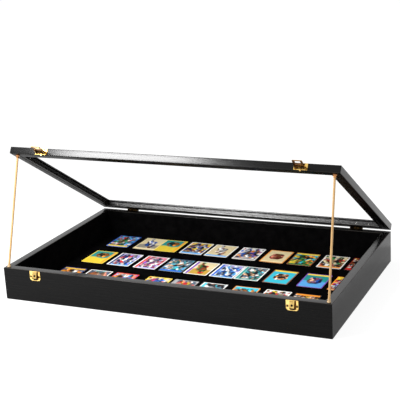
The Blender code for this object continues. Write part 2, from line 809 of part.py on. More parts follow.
def build_hasp(side, brass, hasp_axis):
    """A sheet with a window behind its end bar, turned down all round but at the pin's end."""
    name = f"hasp_{side}"
    half = HASP_WIDTH / 2
    body = prism(bmesh.new(), hasp_side_outline(), along_x, -half, half)
    hasp = add_object(name, body, brass, hasp_axis, 40)
    inner = half - SHEET_THICKNESS
    under = -HASP_HEEL - CUT_OVERRUN
    over = HASP_TOP + CUT_OVERRUN
    end = hasp_reach() + HASP_BAR_LENGTH - SHEET_THICKNESS
    hollow = box(bmesh.new(), (-inner, -end, under), (inner, HASP_HEEL + CUT_OVERRUN, HASP_SHEET_RISE))
    plan = prism(bmesh.new(), hasp_top_outline(), along_z, under, over)
    window = prism(bmesh.new(), hasp_window_outline(), along_z, under, over)
    holes = bmesh.new()
    reach = half + CUT_OVERRUN
    turned(holes, rod_profile(HASP_PIN_RADIUS + FIT_GAP, -reach, reach), FASTENER_STEPS, across_x())
    for label, bm, operation in (
        ("hollow", hollow, "DIFFERENCE"),
        ("plan", plan, "INTERSECT"),
        ("window", window, "DIFFERENCE"),
        ("holes", holes, "DIFFERENCE"),
    ):
        carve(hasp, add_guide(f"{name}_{label}", bm, hasp_axis), operation)


def build_hasp_plate(side, brass, lid_axis, foot):
    name = f"hasp_plate_{side}"
    bm = prism(bmesh.new(), hasp_plate_outline(), along_y, -PLATE_BACK, -PLATE_FACE)
    plate = add_object(name, bm, brass, lid_axis, smooth_degrees=40)
    plate.location = foot
    ears = bmesh.new()
    holes = bmesh.new()
    for low in (-EAR_OUTER, EAR_INNER):
        prism(ears, ear_outline(), along_x, low, low + SHEET_THICKNESS)
    reach = EAR_OUTER + CUT_OVERRUN
    hole_place = Matrix.Translation((0, -HASP_PIVOT_OUT, HASP_PIVOT_UP)) @ across_x()
    turned(holes, rod_profile(HASP_PIN_RADIUS + FIT_GAP, -reach, reach), FASTENER_STEPS, hole_place)
    for label, bm, operation in (("ears", ears, "UNION"), ("holes", holes, "DIFFERENCE")):
        guide = add_guide(f"{name}_{label}", bm, lid_axis)
        guide.location = foot
        carve(plate, guide, operation)
    return plate


def build_hasp_pin(side, steel, lid_axis, pivot):
    """A cross pin with a domed head at both ends."""
    end = EAR_OUTER + FIT_GAP
    dome = dome_profile(HASP_PIN_HEAD_RADIUS, HASP_PIN_HEAD_HEIGHT, 0, 0)[:ARC_STEPS]
    profile = [(radius, end + height) for radius, height in dome]
    profile += [(HASP_PIN_HEAD_RADIUS, end), (HASP_PIN_RADIUS, end)]
    profile += [(radius, -height) for radius, height in reversed(profile)]
    pin = turned(bmesh.new(), profile, FASTENER_STEPS, across_x())
    item = add_object(f"hasp_pin_{side}", pin, steel, lid_axis, smooth_degrees=50)
    item.location = pivot


def build_hasps(materials, rails, lid_axis):
    brass = materials["brass"]
    nail_spots, plates = [], []
    for side, sign in SIDE_SIGNS.items():
        x = sign * (HALF_WIDTH - HASP_INSET)
        foot = Vector((x, -HALF_DEPTH, LID_BOTTOM)) - LID_PIVOT
        plates.append(build_hasp_plate(side, brass, lid_axis, foot))
        pivot = foot + Vector((0, -HASP_PIVOT_OUT, HASP_PIVOT_UP))
        hasp_axis = add_axis(f"hasp_axis_{side}", pivot, lid_axis)
        hasp_axis.rotation_euler = (math.radians(-HASP_OPEN_DEGREES[side]), 0, 0)
        build_hasp(side, brass, hasp_axis)
        build_hasp_pin(side, materials["steel"], lid_axis, pivot)
        height = HASP_PLATE_RISE + HASP_PLATE_HEIGHT - HASP_NAIL_MARGIN
        for spread in (-HASP_NAIL_SPREAD, HASP_NAIL_SPREAD):
            spot = foot + Vector((spread, -PLATE_FACE - FIT_GAP, height))
            nail_spots.append(facing((0, -1, 0), spot))
    profile = dome_profile(NAIL_HEAD_RADIUS, NAIL_HEAD_HEIGHT, NAIL_SHANK_RADIUS, NAIL_LENGTH)
    add_fasteners("hasp_nail", nail_spots, profile, brass, lid_axis)
    holes = hole_profile(NAIL_SHANK_RADIUS, NAIL_LENGTH)
    drill("hasp_nail_holes", nail_spots, holes, [*plates, rails["front"]], lid_axis)


# Brads through the glazing beads

def brad_spots():
    """A brad near each end of every bead, through the bead's inner face."""
    spots = {}
    for side in SIDES:
        span, across = side_size(side)
        to_lid = Matrix.Translation(-LID_PIVOT) @ side_turn(side)
        reach = span / 2 - BRAD_END_MARGIN
        face = -across / 2 + RAIL_WIDTH + FIT_GAP
        spots[side] = [
            to_lid @ facing((0, 1, 0), Vector((x, face, BRAD_HEIGHT + LID_BOTTOM)))
            for x in (-reach, reach)
        ]
    return spots


def build_brads(steel, rails, beads, lid_axis):
    every_spot = brad_spots()
    profile = dome_profile(BRAD_HEAD_RADIUS, BRAD_HEAD_HEIGHT, BRAD_SHANK_RADIUS, BRAD_LENGTH)
    add_fasteners("bead_brad", sum(every_spot.values(), []), profile, steel, lid_axis)
    holes = hole_profile(BRAD_SHANK_RADIUS, BRAD_LENGTH)
    for side, spots in every_spot.items():
        drill(f"brad_holes_{side}", spots, holes, [rails[side], beads[side]], lid_axis)


# Prop rods

def lid_point(place):
    """Where a point of the closed lid lies with the lid standing open."""
    return LID_TURN @ (Vector(place) - LID_PIVOT) + LID_PIVOT


def prop_ends(sign):
    """Middle of the foot on the rim's mitre and of the cap under the lid's corner."""
    rim_inset = WALL_THICKNESS / 2
    foot = Vector((sign * (HALF_WIDTH - rim_inset), rim_inset - HALF_DEPTH, CASE_HEIGHT))
    cap = lid_point((sign * (HALF_WIDTH - CAP_INSET), RAIL_WIDTH / 2 - HALF_DEPTH, LID_BOTTOM))
    return foot, cap


def tip_degrees():
    """The turn that lays a standing rod flat in front of the case."""
    foot, cap = prop_ends(1)
    lean = math.degrees(math.atan2(cap.y - foot.y, cap.z - foot.z))
    return 90 + lean


def tip_pivot(sign):
    """The line about which a rod tips forward off the rim and down to the table."""
    foot, _ = prop_ends(sign)
    turn = math.radians(tip_degrees())
    lying = PROP_FLARE + TIPPED_CLEARANCE
    drop = (foot.z - lying + TIP_PIVOT_FORWARD * math.sin(turn)) / (1 - math.cos(turn))
    return Vector((foot.x, foot.y - TIP_PIVOT_FORWARD, foot.z - drop))


def foot_profile():
    """The flared ferrule on the rod's lower end, blind above its seat."""
    bore_end = FOOT_LENGTH - FERRULE_BORE_DEPTH
    return [
        (0, bore_end),
        (PROP_BORE, bore_end),
        (PROP_BORE, FOOT_LENGTH),
        (PROP_SLEEVE, FOOT_LENGTH),
        (PROP_SLEEVE, FOOT_END),
        (PROP_FLARE, 0),
        (PROP_FLARE, -PROP_FLARE),
        (0, -PROP_FLARE),
    ]


def cap_profile(length):
    """The ferrule on the upper end of a rod of this length."""
    bore_end = length - CAP_LENGTH + FERRULE_BORE_DEPTH
    return [
        (0, length + PROP_SLEEVE),
        (PROP_SLEEVE, length + PROP_SLEEVE),
        (PROP_SLEEVE, length - CAP_LENGTH),
        (PROP_BORE, length - CAP_LENGTH),
        (PROP_BORE, bore_end),
        (0, bore_end),
    ]


def build_prop(side, sign, materials):
    """A rod from the rim's corner to the lid's, its ferrules cut to sit flat on both."""
    up = Vector((0, 0, 1))
    lid_up = LID_TURN.to_3x3() @ up
    foot, cap = prop_ends(sign)
    axis = add_axis(f"prop_axis_{side}", tip_pivot(sign))
    foot, cap = foot - axis.location, cap - axis.location
    length = (cap - foot).length
    stand = Matrix.Translation(foot) @ (cap - foot).to_track_quat("Z", "X").to_matrix().to_4x4()
    low = FOOT_LENGTH - FERRULE_BORE_DEPTH + FIT_GAP
    high = length - CAP_LENGTH + FERRULE_BORE_DEPTH - FIT_GAP
    rod = turned(bmesh.new(), rod_profile(ROD_RADIUS, low, high), ROD_STEPS, stand)
    add_object(f"prop_rod_{side}", rod, materials["wood"], axis, smooth_degrees=40)
    ferrule = turned(bmesh.new(), foot_profile(), ROD_STEPS, stand)
    cut_flat(ferrule, foot + up * FIT_GAP, -up)
    add_object(f"prop_foot_{side}", ferrule, materials["tan"], axis, smooth_degrees=40)
    ferrule = turned(bmesh.new(), cap_profile(length), ROD_STEPS, stand)
    cut_flat(ferrule, cap - lid_up * (FIT_GAP + CAP_FLANGE_THICKNESS / 2), lid_up)
    sleeve = add_object(f"prop_cap_{side}", ferrule, materials["copper"], axis, smooth_degrees=40)
    rim = rod_profile(CAP_FLANGE_RADIUS, -FIT_GAP - CAP_FLANGE_THICKNESS, -FIT_GAP)
    flange = turned(bmesh.new(), rim, ROD_STEPS, facing(lid_up, cap))
    carve(sleeve, add_guide(f"prop_cap_{side}_flange", flange, axis), "UNION")


def build():
    clear_scene()
    materials = make_materials()
    walls = build_walls(materials["paint"])
    build_bottom(materials)
    build_wall_lining(materials["felt"])
    build_catch_plates(materials["brass"], walls)
    pin_axis = add_axis("hinge_pin_axis", LID_PIVOT)
    lid_axis = add_axis("lid_axis", LID_PIVOT)
    lid_axis.rotation_euler = LID_TURN.to_euler()
    rails, beads = build_lid_frame(materials["paint"], lid_axis)
    build_pane(materials["pane"], lid_axis)
    build_hinges(materials, walls, rails, pin_axis, lid_axis)
    build_hasps(materials, rails, lid_axis)
    build_brads(materials["steel"], rails, beads, lid_axis)
    for side, sign in SIDE_SIGNS.items():
        build_prop(side, sign, materials)


build()
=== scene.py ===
# %% [markdown]
# # A wooden card display case
# A shallow black case stands open. Its glazed lid leans back on two loose
# wooden rods, cards lie in rows on black felt, and small brass hasps, catches
# and butt hinges hold it together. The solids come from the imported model. This
# lesson gives each of them its finish, and makes anew the pieces whose surface
# needs more than a plain solid has: painted bars, felt, rods and cards.

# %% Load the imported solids
import json
import math

import bmesh
import bpy
import numpy as np
from mathutils import Matrix, Quaternion, Vector


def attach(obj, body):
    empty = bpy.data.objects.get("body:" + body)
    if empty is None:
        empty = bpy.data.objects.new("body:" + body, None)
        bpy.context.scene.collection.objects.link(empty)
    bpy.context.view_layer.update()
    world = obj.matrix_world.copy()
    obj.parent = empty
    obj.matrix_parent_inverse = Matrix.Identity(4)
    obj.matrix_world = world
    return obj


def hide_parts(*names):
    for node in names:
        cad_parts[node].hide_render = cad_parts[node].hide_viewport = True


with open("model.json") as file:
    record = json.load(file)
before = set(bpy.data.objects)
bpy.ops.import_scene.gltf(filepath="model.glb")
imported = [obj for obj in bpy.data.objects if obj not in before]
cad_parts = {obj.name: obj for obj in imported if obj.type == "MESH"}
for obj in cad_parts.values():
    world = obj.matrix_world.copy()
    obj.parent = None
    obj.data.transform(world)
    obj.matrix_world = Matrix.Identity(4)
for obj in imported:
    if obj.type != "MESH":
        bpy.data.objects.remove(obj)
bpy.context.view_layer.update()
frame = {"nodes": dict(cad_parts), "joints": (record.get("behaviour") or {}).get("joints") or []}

nodes = frame["nodes"]
MM = 0.001

# %% [markdown]
# ## Measuring the case
# Every size is read from the solids, so the new surfaces fit them. The lid
# stands open, and its bars are easiest to shape as if it were closed. So a
# small function swings points between the closed and the open lid about the
# hinge line.

# %% Sizes and the lid's swing
lid_joint = next(joint for joint in frame["joints"] if joint["name"] == "lid_close")
hinge_line = np.array(lid_joint["pos_m"])
lid_angle = -math.radians(lid_joint["range_deg"][0])


def swing(points, angle):
    """Turns points about the hinge line: the front of the lid rises by angle."""
    y, z = points[..., 1] - hinge_line[1], points[..., 2] - hinge_line[2]
    turned = np.array(points, dtype=float)
    turned[..., 1] = y * math.cos(angle) + z * math.sin(angle) + hinge_line[1]
    turned[..., 2] = z * math.cos(angle) - y * math.sin(angle) + hinge_line[2]
    return turned


lid_up = swing(hinge_line + np.array([0, 0, 1.0]), lid_angle) - hinge_line
lid_front = swing(hinge_line + np.array([0, -1.0, 0]), lid_angle) - hinge_line


def solid_points(name):
    """All corners of a solid as one array."""
    mesh = nodes[name].data
    flat = np.empty(len(mesh.vertices) * 3)
    mesh.vertices.foreach_get("co", flat)
    return flat.reshape(-1, 3)


def shut_box(name):
    """Lowest and highest corner of one of the lid's solids with the lid shut."""
    points = swing(solid_points(name), -lid_angle)
    return points.min(axis=0), points.max(axis=0)


def standing_box(name):
    """Lowest and highest corner of a solid as it stands."""
    points = solid_points(name)
    return points.min(axis=0), points.max(axis=0)


front_low, front_high = standing_box("front_wall")
half_width = -standing_box("left_wall")[0][0]
half_depth = -front_low[1]
case_height = front_high[2]
wall = front_high[1] - front_low[1]
rail_low, rail_high = shut_box("lid_front_rail")
rail = rail_high[1] - rail_low[1]
lid_bottom, lid_top = rail_low[2], rail_high[2]
print(f"case {2 * half_width:.3f} x {2 * half_depth:.3f} x {case_height:.3f} m")
print(f"wall {wall:.4f} m, rail {rail:.4f} m, lid open by {math.degrees(lid_angle):.1f} degrees")

# %% [markdown]
# ## Surfaces from grids
# A bar, a rod, a felt strip and a card are all a grid of points: one parameter
# runs along the piece and the other goes round or across it. The faces between
# the points follow the same rule each time, so one function makes them all.
# The grid's rows also give the piece a map, in metres, for grain and pile.

# %% From a grid to a mesh piece
def grid_faces(rows, columns, round_rows=False, round_columns=False):
    """Four-cornered faces between the rows and columns of a numbered grid."""
    row = np.arange(rows if round_rows else rows - 1)[:, None]
    column = np.arange(columns if round_columns else columns - 1)[None, :]
    next_row, next_column = (row + 1) % rows, (column + 1) % columns
    corners = (row * columns + column, next_row * columns + column,
               next_row * columns + next_column, row * columns + next_column)
    return np.stack(np.broadcast_arrays(*corners), axis=-1).reshape(-1, 4)


def make_piece(name, points, faces, body, stands_for=(), ends=(), uv=None, smooth=35.0):
    """One mesh object at the origin from points, four-cornered faces and end faces."""
    corners = np.concatenate([np.ravel(faces), *ends]).astype(np.int32)
    sizes = np.concatenate([np.full(len(faces), 4), [len(end) for end in ends]]).astype(np.int32)
    mesh = bpy.data.meshes.new(name)
    mesh.vertices.add(len(points))
    mesh.vertices.foreach_set("co", np.asarray(points, dtype=np.float32).ravel())
    mesh.loops.add(len(corners))
    mesh.loops.foreach_set("vertex_index", corners)
    mesh.polygons.add(len(sizes))
    mesh.polygons.foreach_set("loop_start", (np.cumsum(sizes) - sizes).astype(np.int32))
    if uv is not None:
        layer = mesh.uv_layers.new(name="map")
        layer.data.foreach_set("uv", np.asarray(uv, dtype=np.float32)[corners].ravel())
    mesh.update(calc_edges=True)
    mesh.validate()
    if smooth:
        mesh.shade_smooth()
        mesh.set_sharp_from_angle(angle=math.radians(smooth))
    piece = bpy.data.objects.new(name, mesh)
    bpy.context.scene.collection.objects.link(piece)
    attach(piece, body)
    if stands_for:
        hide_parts(*stands_for)
    return piece


def outward(piece):
    """Turns the faces of a closed piece to point out."""
    shape = bmesh.new()
    shape.from_mesh(piece.data)
    bmesh.ops.recalc_face_normals(shape, faces=shape.faces)
    shape.to_mesh(piece.data)
    shape.free()
    return piece


print("a 3 by 4 grid has", len(grid_faces(3, 4)), "faces")

# %% [markdown]
# ## Node helpers
# A finish is a small graph of shader nodes. Written out call by call it is hard
# to read, so a helper adds one node, sets its plain values and joins its
# inputs in one line.

# %% Adding a node and starting a finish
def add_node(tree, kind, inputs=None, **settings):
    """A node with settings, whose inputs are plain values or other nodes' outputs."""
    node = tree.nodes.new(kind)
    for key, value in settings.items():
        setattr(node, key, value)
    for key, value in (inputs or {}).items():
        if isinstance(value, bpy.types.NodeSocket):
            tree.links.new(value, node.inputs[key])
        else:
            node.inputs[key].default_value = value
    return node


def new_finish(name, colour, roughness, metallic=0.0, **sockets):
    """A material with one Principled shader. Returns it, its tree and the shader."""
    finish = bpy.data.materials.new(name)
    finish.use_nodes = True
    tree = finish.node_tree
    shader = tree.nodes["Principled BSDF"]
    shader.inputs["Base Color"].default_value = (*colour, 1.0)
    shader.inputs["Roughness"].default_value = roughness
    shader.inputs["Metallic"].default_value = metallic
    for key, value in sockets.items():
        shader.inputs[key.replace("_", " ")].default_value = value
    return finish, tree, shader


print("helpers:", add_node.__name__, new_finish.__name__)

# %% Noise, blends and dents
def stretched_noise(tree, source, scale, detail=4.0, roughness=0.55):
    """Noise whose frequency differs along each axis; source is Object or UV."""
    coordinates = add_node(tree, "ShaderNodeTexCoord").outputs[source]
    mapped = add_node(tree, "ShaderNodeMapping", {"Vector": coordinates, "Scale": scale})
    inputs = {"Vector": mapped.outputs["Vector"], "Scale": 1.0, "Detail": detail, "Roughness": roughness}
    return add_node(tree, "ShaderNodeTexNoise", inputs).outputs["Fac"]


def spread(tree, value, low, high, to_low=0.0, to_high=1.0):
    """Maps a value from low..high to another range, clamped."""
    inputs = {"Value": value, "From Min": low, "From Max": high, "To Min": to_low, "To Max": to_high}
    return add_node(tree, "ShaderNodeMapRange", inputs).outputs["Result"]


def blend_colours(tree, factor, first, second):
    """The first colour where the factor is 0, the second where it is 1. The Mix node's
    inputs 6 and 7 and its output 2 are those for colours."""
    inputs = {0: factor}
    for number, colour in ((6, first), (7, second)):
        inputs[number] = colour if isinstance(colour, bpy.types.NodeSocket) else (*colour, 1.0)
    return add_node(tree, "ShaderNodeMix", inputs, data_type="RGBA").outputs[2]


def arithmetic(tree, operation, first, second=0.0):
    """One step of arithmetic on two values."""
    return add_node(tree, "ShaderNodeMath", {0: first, 1: second}, operation=operation).outputs[0]


def add_share(tree, first, second, share):
    """The first value plus a share of the second."""
    return arithmetic(tree, "ADD", first, arithmetic(tree, "MULTIPLY", second, share))


def dent(tree, shader, height, distance, strength=1.0):
    """Tilts the surface as a relief of this height times the distance would."""
    bump = add_node(tree, "ShaderNodeBump", {"Height": height, "Distance": distance, "Strength": strength})
    tree.links.new(bump.outputs["Normal"], shader.inputs["Normal"])


def dress(piece, finish):
    """Leaves a piece or a solid with this finish alone."""
    piece.data.materials.clear()
    piece.data.materials.append(finish)


print("helpers:", *(helper.__name__ for helper in (stretched_noise, spread, blend_colours, dent, dress)))

# %% [markdown]
# ## Black satin paint on wood
# The case is softwood under a thin brushed black paint. Up close the wood's
# long grain still shows through as fine ridges, open pores break up the shine,
# the sheen goes up and down with the brush, and the arrises have been rubbed to a
# slightly paler, warmer edge.
# The bars' map runs along each bar, so noise stretched along it makes the grain.
# One graph serves six paints that differ in gloss: the tray's, the glossier
# lid's, the rim that the lid has rubbed smooth, the dim faces between the tray and
# the lid that nothing rubs, the dull beads, and the thicker, flecked coat inside
# the back rail and on its bead.

# %% Paint
PAINT_BLACK = (0.0030, 0.0030, 0.0032)
HOLLOW_BLACK, RIDGE_BLACK = (0.0014, 0.0014, 0.0015), (0.0042, 0.0040, 0.0039)
RUBBED_EDGE = (0.080, 0.070, 0.062)


def make_paint(name, gloss, smooth, rough, depth=0.02 * MM, wear=1.0, flecked=0.0):
    """Black paint whose roughness goes from smooth to rough with the brush marks.
    Depth is how far its ridges and pores go down, wear is how pale its arrises are,
    and flecked is how much its gloss differs from spot to spot."""
    finish, tree, shader = new_finish(name, PAINT_BLACK, smooth, Specular_IOR_Level=gloss)
    grain = stretched_noise(tree, "UV", (9, 620, 1), 5.0)
    brush = stretched_noise(tree, "UV", (3, 110, 1), 3.0)
    patches = stretched_noise(tree, "UV", (5, 14, 1), 2.0)
    rubbed = add_node(tree, "ShaderNodeAttribute", attribute_name="arris").outputs["Fac"]
    worn = arithmetic(tree, "MULTIPLY", rubbed, spread(tree, patches, 0.35, 0.70, 0.15 * wear, wear))
    body = blend_colours(tree, spread(tree, grain, 0.40, 0.72), HOLLOW_BLACK, RIDGE_BLACK)
    tree.links.new(blend_colours(tree, worn, body, RUBBED_EDGE), shader.inputs["Base Color"])
    sheen = add_share(tree, spread(tree, brush, 0.30, 0.75, smooth, rough), worn, 0.10)
    tree.links.new(sheen, shader.inputs["Roughness"])
    pores = stretched_noise(tree, "UV", (260, 700, 1), 3.0, 0.7)
    relief = add_share(tree, add_share(tree, grain, brush, 0.6), pores, 0.7)
    dent(tree, shader, relief, depth)
    if flecked:
        flecks = stretched_noise(tree, "UV", (170, 480, 1), 4.0, 0.7)
        shine = spread(tree, flecks, 0.36, 0.64, (1 - flecked) * gloss, (1 + flecked) * gloss)
        tree.links.new(shine, shader.inputs["Specular IOR Level"])
    return finish


paint = make_paint("satin_black_paint", gloss=0.09, smooth=0.14, rough=0.22, depth=0.012 * MM, wear=0.5)
rim_paint = make_paint("rubbed_black_paint", gloss=0.40, smooth=0.18, rough=0.28)
rail_paint = make_paint("glossier_black_paint", gloss=0.15, smooth=0.14, rough=0.22, wear=0.3)
dim_paint = make_paint("dim_black_paint", gloss=0.015, smooth=0.24, rough=0.34, wear=0.3)
bead_paint = make_paint("dull_black_paint", gloss=0.03, smooth=0.30, rough=0.42)
thick_paint = make_paint("thick_black_paint", gloss=0.34, smooth=0.24, rough=0.36,
                         depth=0.16 * MM, flecked=0.8)
paints = (paint, rim_paint, rail_paint, dim_paint, bead_paint, thick_paint)
print("finishes:", *(finish.name for finish in paints))

# %% [markdown]
# ## Mitred bars
# Each wall, lid rail and glazing bead is a moulded section carried along a
# straight line and cut at 45 degrees at both ends. The section could be
# extruded and cut with a Boolean, but a mitre has a simple rule: a point that
# lies further in has a bar shorter by the same amount. So the section's points
# are carried straight to where the mitre meets them, and the ends need no cut.

# %% A section with rounded arrises
def section(corners, steps=6):
    """Outline of (inward, height) corners, each rounded by an arc of its own radius.
    The centre lies on the corner's bisector, at radius / sin(half angle). Returns the
    points and, for each, how rubbed it is: a half sine wave over each rounded corner,
    so that the flat faces between two corners stay at 0."""
    points, rubbed = [], []
    places = np.array([corner[:2] for corner in corners], dtype=float)
    for index, (_, _, radius) in enumerate(corners):
        here = places[index]
        before = places[index - 1] - here
        after = places[(index + 1) % len(corners)] - here
        before, after = before / np.linalg.norm(before), after / np.linalg.norm(after)
        if radius == 0:
            points.append(here[None, :])
            rubbed.append(np.zeros(1))
            continue
        half = math.acos(np.clip(before @ after, -1, 1)) / 2
        middle = before + after
        centre = here + middle / np.linalg.norm(middle) * (radius / math.sin(half))
        start = here + before * (radius / math.tan(half)) - centre
        end = here + after * (radius / math.tan(half)) - centre
        share = np.linspace(0, 1, steps + 1)[:, None]
        arc = start * (1 - share) + end * share
        arc = centre + arc / np.linalg.norm(arc, axis=1)[:, None] * radius
        points.append(arc)
        rubbed.append(np.sin(math.pi * share[:, 0]))
    return np.vstack(points), np.concatenate(rubbed)


print("a corner of 6 steps has", len(section([(0, 0, 1), (4, 0, 0), (0, 4, 0)])[0]) - 2, "points")

# %% A bar with mitred ends
MITRE_GAP = 0.2 * MM
SIDES = ("front", "right", "back", "left")


def mitred_bar(outline, span, stations=25):
    """Grid of a bar along X: x runs between the two mitres at plus and minus
    (half the span minus how far in the point lies), less a gap too fine to see, so
    that two bars never share a face. y is inward, z is height."""
    share = np.linspace(-1, 1, stations)[:, None]
    reach = span / 2 - outline[None, :, 0] - MITRE_GAP
    grid = np.empty((stations, len(outline), 3))
    grid[..., 0] = share * reach
    grid[..., 1] = outline[None, :, 0]
    grid[..., 2] = outline[None, :, 1]
    return grid


def onto_side(grid, side):
    """Turns a bar made for the front by quarter turns onto its side of the case."""
    across = half_depth if side in ("front", "back") else half_width
    quarters = SIDES.index(side) * math.pi / 2
    cosine, sine = round(math.cos(quarters)), round(math.sin(quarters))
    x, y = grid[..., 0], grid[..., 1] - across
    return np.stack([x * cosine - y * sine, x * sine + y * cosine, grid[..., 2]], axis=-1)


print("sides, each a quarter turn from the last:", *SIDES)

# %% A painted bar
def add_number(piece, name, values):
    """Stores one number for each point, which a finish reads by its name."""
    layer = piece.data.attributes.new(name, "FLOAT", "POINT")
    layer.data.foreach_set("value", np.asarray(values, dtype=np.float32))


def make_bar(name, corners, side, body, lid=False, finish=paint):
    """A painted bar: the section swept, mitred, set on its side and swung with the lid.
    Its map runs along and round it, and starts elsewhere in the grain for each name."""
    outline, rubbed = section(corners)
    span = 2 * (half_width if side in ("front", "back") else half_depth)
    grid = mitred_bar(outline, span)
    rows, columns = grid.shape[:2]
    round_about = np.concatenate([[0], np.cumsum(np.linalg.norm(np.diff(outline, axis=0), axis=1))])
    offset = sum(map(ord, name)) % 17
    uv = np.stack([grid[..., 0] + offset, np.broadcast_to(round_about, (rows, columns)) + offset], axis=-1)
    points = onto_side(grid, side)
    if lid:
        points = swing(points, lid_angle)
    ends = (np.arange(columns), (rows - 1) * columns + np.arange(columns)[::-1])
    faces = grid_faces(rows, columns, round_columns=True)
    piece = make_piece(f"{name}_painted", points.reshape(-1, 3), faces, body, (name,), ends,
                       uv.reshape(-1, 2))
    add_number(piece, "arris", np.tile(rubbed, rows))
    outward(piece)
    dress(piece, finish)
    return piece


def repaint(piece, direction, finish):
    """Gives the faces that look along a direction one more finish."""
    polygons = piece.data.polygons
    piece.data.materials.append(finish)
    normals = np.empty(len(polygons) * 3)
    polygons.foreach_get("normal", normals)
    numbers = np.empty(len(polygons), dtype=np.int32)
    polygons.foreach_get("material_index", numbers)
    numbers[normals.reshape(-1, 3) @ direction > 0.9] = len(piece.data.materials) - 1
    polygons.foreach_set("material_index", numbers)


print("helpers:", make_bar.__name__, repaint.__name__)

# %% Walls of the tray
# the slack between two pieces where one is let into the other
FIT = 0.3 * MM
panel_low, panel_high = standing_box("bottom_panel")
ledge = half_width + panel_low[0] - FIT
ledge_top = panel_high[2] + FIT
arris = 1.2 * MM
wall_corners = [
    (0, 0, arris),
    (ledge, 0, 0),
    (ledge, ledge_top, 0),
    (wall, ledge_top, 0),
    (wall, case_height, arris),
    (0, case_height, arris),
]
walls = [make_bar(f"{side}_wall", wall_corners, side, "base") for side in SIDES]
for piece in walls:
    rim_look = dim_paint if piece.name.startswith("back") else rim_paint
    repaint(piece, np.array([0, 0, 1.0]), rim_look)
print("walls:", [piece.name for piece in walls])

# %% [markdown]
# ## Lid frame and glazing beads
# The lid's rails have a rabbet along their inner underside. The pane drops in
# from below, and a small bead with a sunk quirk line is nailed under it all
# round. Seen from below, these two steps are what make the lid look joined.

# %% Rails and beads
pane_low, pane_high = shut_box("lid_pane")
bead_low, bead_high = shut_box("bead_front")
rabbet = half_width + pane_low[0] - FIT
lip = pane_high[2] + FIT
rail_corners = [
    (0, lid_bottom, arris),
    (rabbet, lid_bottom, arris / 2),
    (rabbet, lip, 0),
    (rail, lip, 0),
    (rail, lid_top, arris),
    (0, lid_top, arris),
]
QUIRK_DEPTH = 0.9 * MM
quirk_low, quirk_high = lid_bottom + 2.4 * MM, lid_bottom + 4.2 * MM
bead_arris, quirk_arris = 0.45 * MM, 0.25 * MM
bead_corners = [
    (rabbet + FIT, bead_low[2], 0),
    (rail, bead_low[2], bead_arris),
    (rail, quirk_low, quirk_arris),
    (rail - QUIRK_DEPTH, quirk_low, 0),
    (rail - QUIRK_DEPTH, quirk_high, 0),
    (rail, quirk_high, quirk_arris),
    (rail, bead_high[2], bead_arris),
    (rabbet + FIT, bead_high[2], 0),
]
BEAD_LOOKS = {"front": bead_paint, "right": bead_paint, "back": thick_paint, "left": bead_paint}
rails = [make_bar(f"lid_{side}_rail", rail_corners, side, "lid", True, rail_paint) for side in SIDES]
beads = [make_bar(f"bead_{side}", bead_corners, side, "lid", True, BEAD_LOOKS[side]) for side in SIDES]
for piece in rails:
    repaint(piece, -lid_up, dim_paint)
repaint(rails[SIDES.index("back")], lid_front, thick_paint)
print("rails and beads:", len(rails) + len(beads))

# %% [markdown]
# ## Felt
# The inside is lined with short black craft felt: a pad on the floor and a
# strip round the walls. Felt has no weave, only matted fibres, so it takes
# almost no light and shows a faint mottle. A grid with a soft edge and about a
# tenth of a millimetre of rise and fall makes it read as cloth over board.

# %% Felt finish
def make_felt():
    """Black felt: fine fibres that dent it, and a broad mottle, both in its colour."""
    finish, tree, shader = new_finish("black_felt", (0.002, 0.002, 0.002), 0.95, Specular_IOR_Level=0.0)
    fibres = stretched_noise(tree, "Object", (1400, 1400, 1400), 3.0, 0.7)
    mottle = stretched_noise(tree, "Object", (60, 60, 60), 4.0)
    depth = add_share(tree, arithmetic(tree, "MULTIPLY", fibres, 0.6), mottle, 0.4)
    between_fibres, fibre_tips = (0.0006, 0.0006, 0.0007), (0.0042, 0.0040, 0.0042)
    colour = blend_colours(tree, spread(tree, depth, 0.36, 0.66), between_fibres, fibre_tips)
    tree.links.new(colour, shader.inputs["Base Color"])
    dent(tree, shader, fibres, 0.4 * MM, 0.7)
    return finish


felt = make_felt()
print("finish:", felt.name)

# %% A sheet's sides and underside
def closed_sheet(grid, underside):
    """Points and faces of a sheet made from its upper surface. Below its rim runs a
    second ring at the height of the underside, joined to the rim by a wall. The third
    value is that ring, which one flat face fills."""
    rows, columns = grid.shape[:2]
    number = np.arange(rows * columns).reshape(rows, columns)
    rim = np.concatenate([number[:-1, 0], number[-1, :-1], number[:0:-1, -1], number[0, :0:-1]])
    ring = grid.reshape(-1, 3)[rim]
    ring[:, 2] = np.broadcast_to(underside, (rows, columns)).reshape(-1)[rim]
    below = rows * columns + np.arange(len(rim))
    sides = np.stack([rim, below, np.roll(below, -1), np.roll(rim, -1)], axis=1)
    points = np.vstack([grid.reshape(-1, 3), ring])
    return points, np.vstack([grid_faces(rows, columns), sides]), below


print("a 3 by 4 sheet has", len(closed_sheet(np.zeros((3, 4, 3)), 0.0)[0]), "points")

# %% Felt pad on the floor
def gentle_waves(x, y):
    """A smooth rise and fall between -1 and 1: the mean of three slow sine waves."""
    return (np.sin(23 * x + 11 * y) + np.sin(29 * y - 17 * x) + np.sin(47 * x - 8 * y)) / 3


def pad_stations(half, edge):
    """Where the pad's lines lie across it: evenly inside, and close together over the
    width of each edge, so that the edge can be round."""
    inner = np.linspace(-1, 1, 97)[1:-1] * (half - edge)
    outer = half - edge * np.array([0.0, 0.15, 0.4, 0.7])
    return np.concatenate([-outer, inner, outer[::-1]])


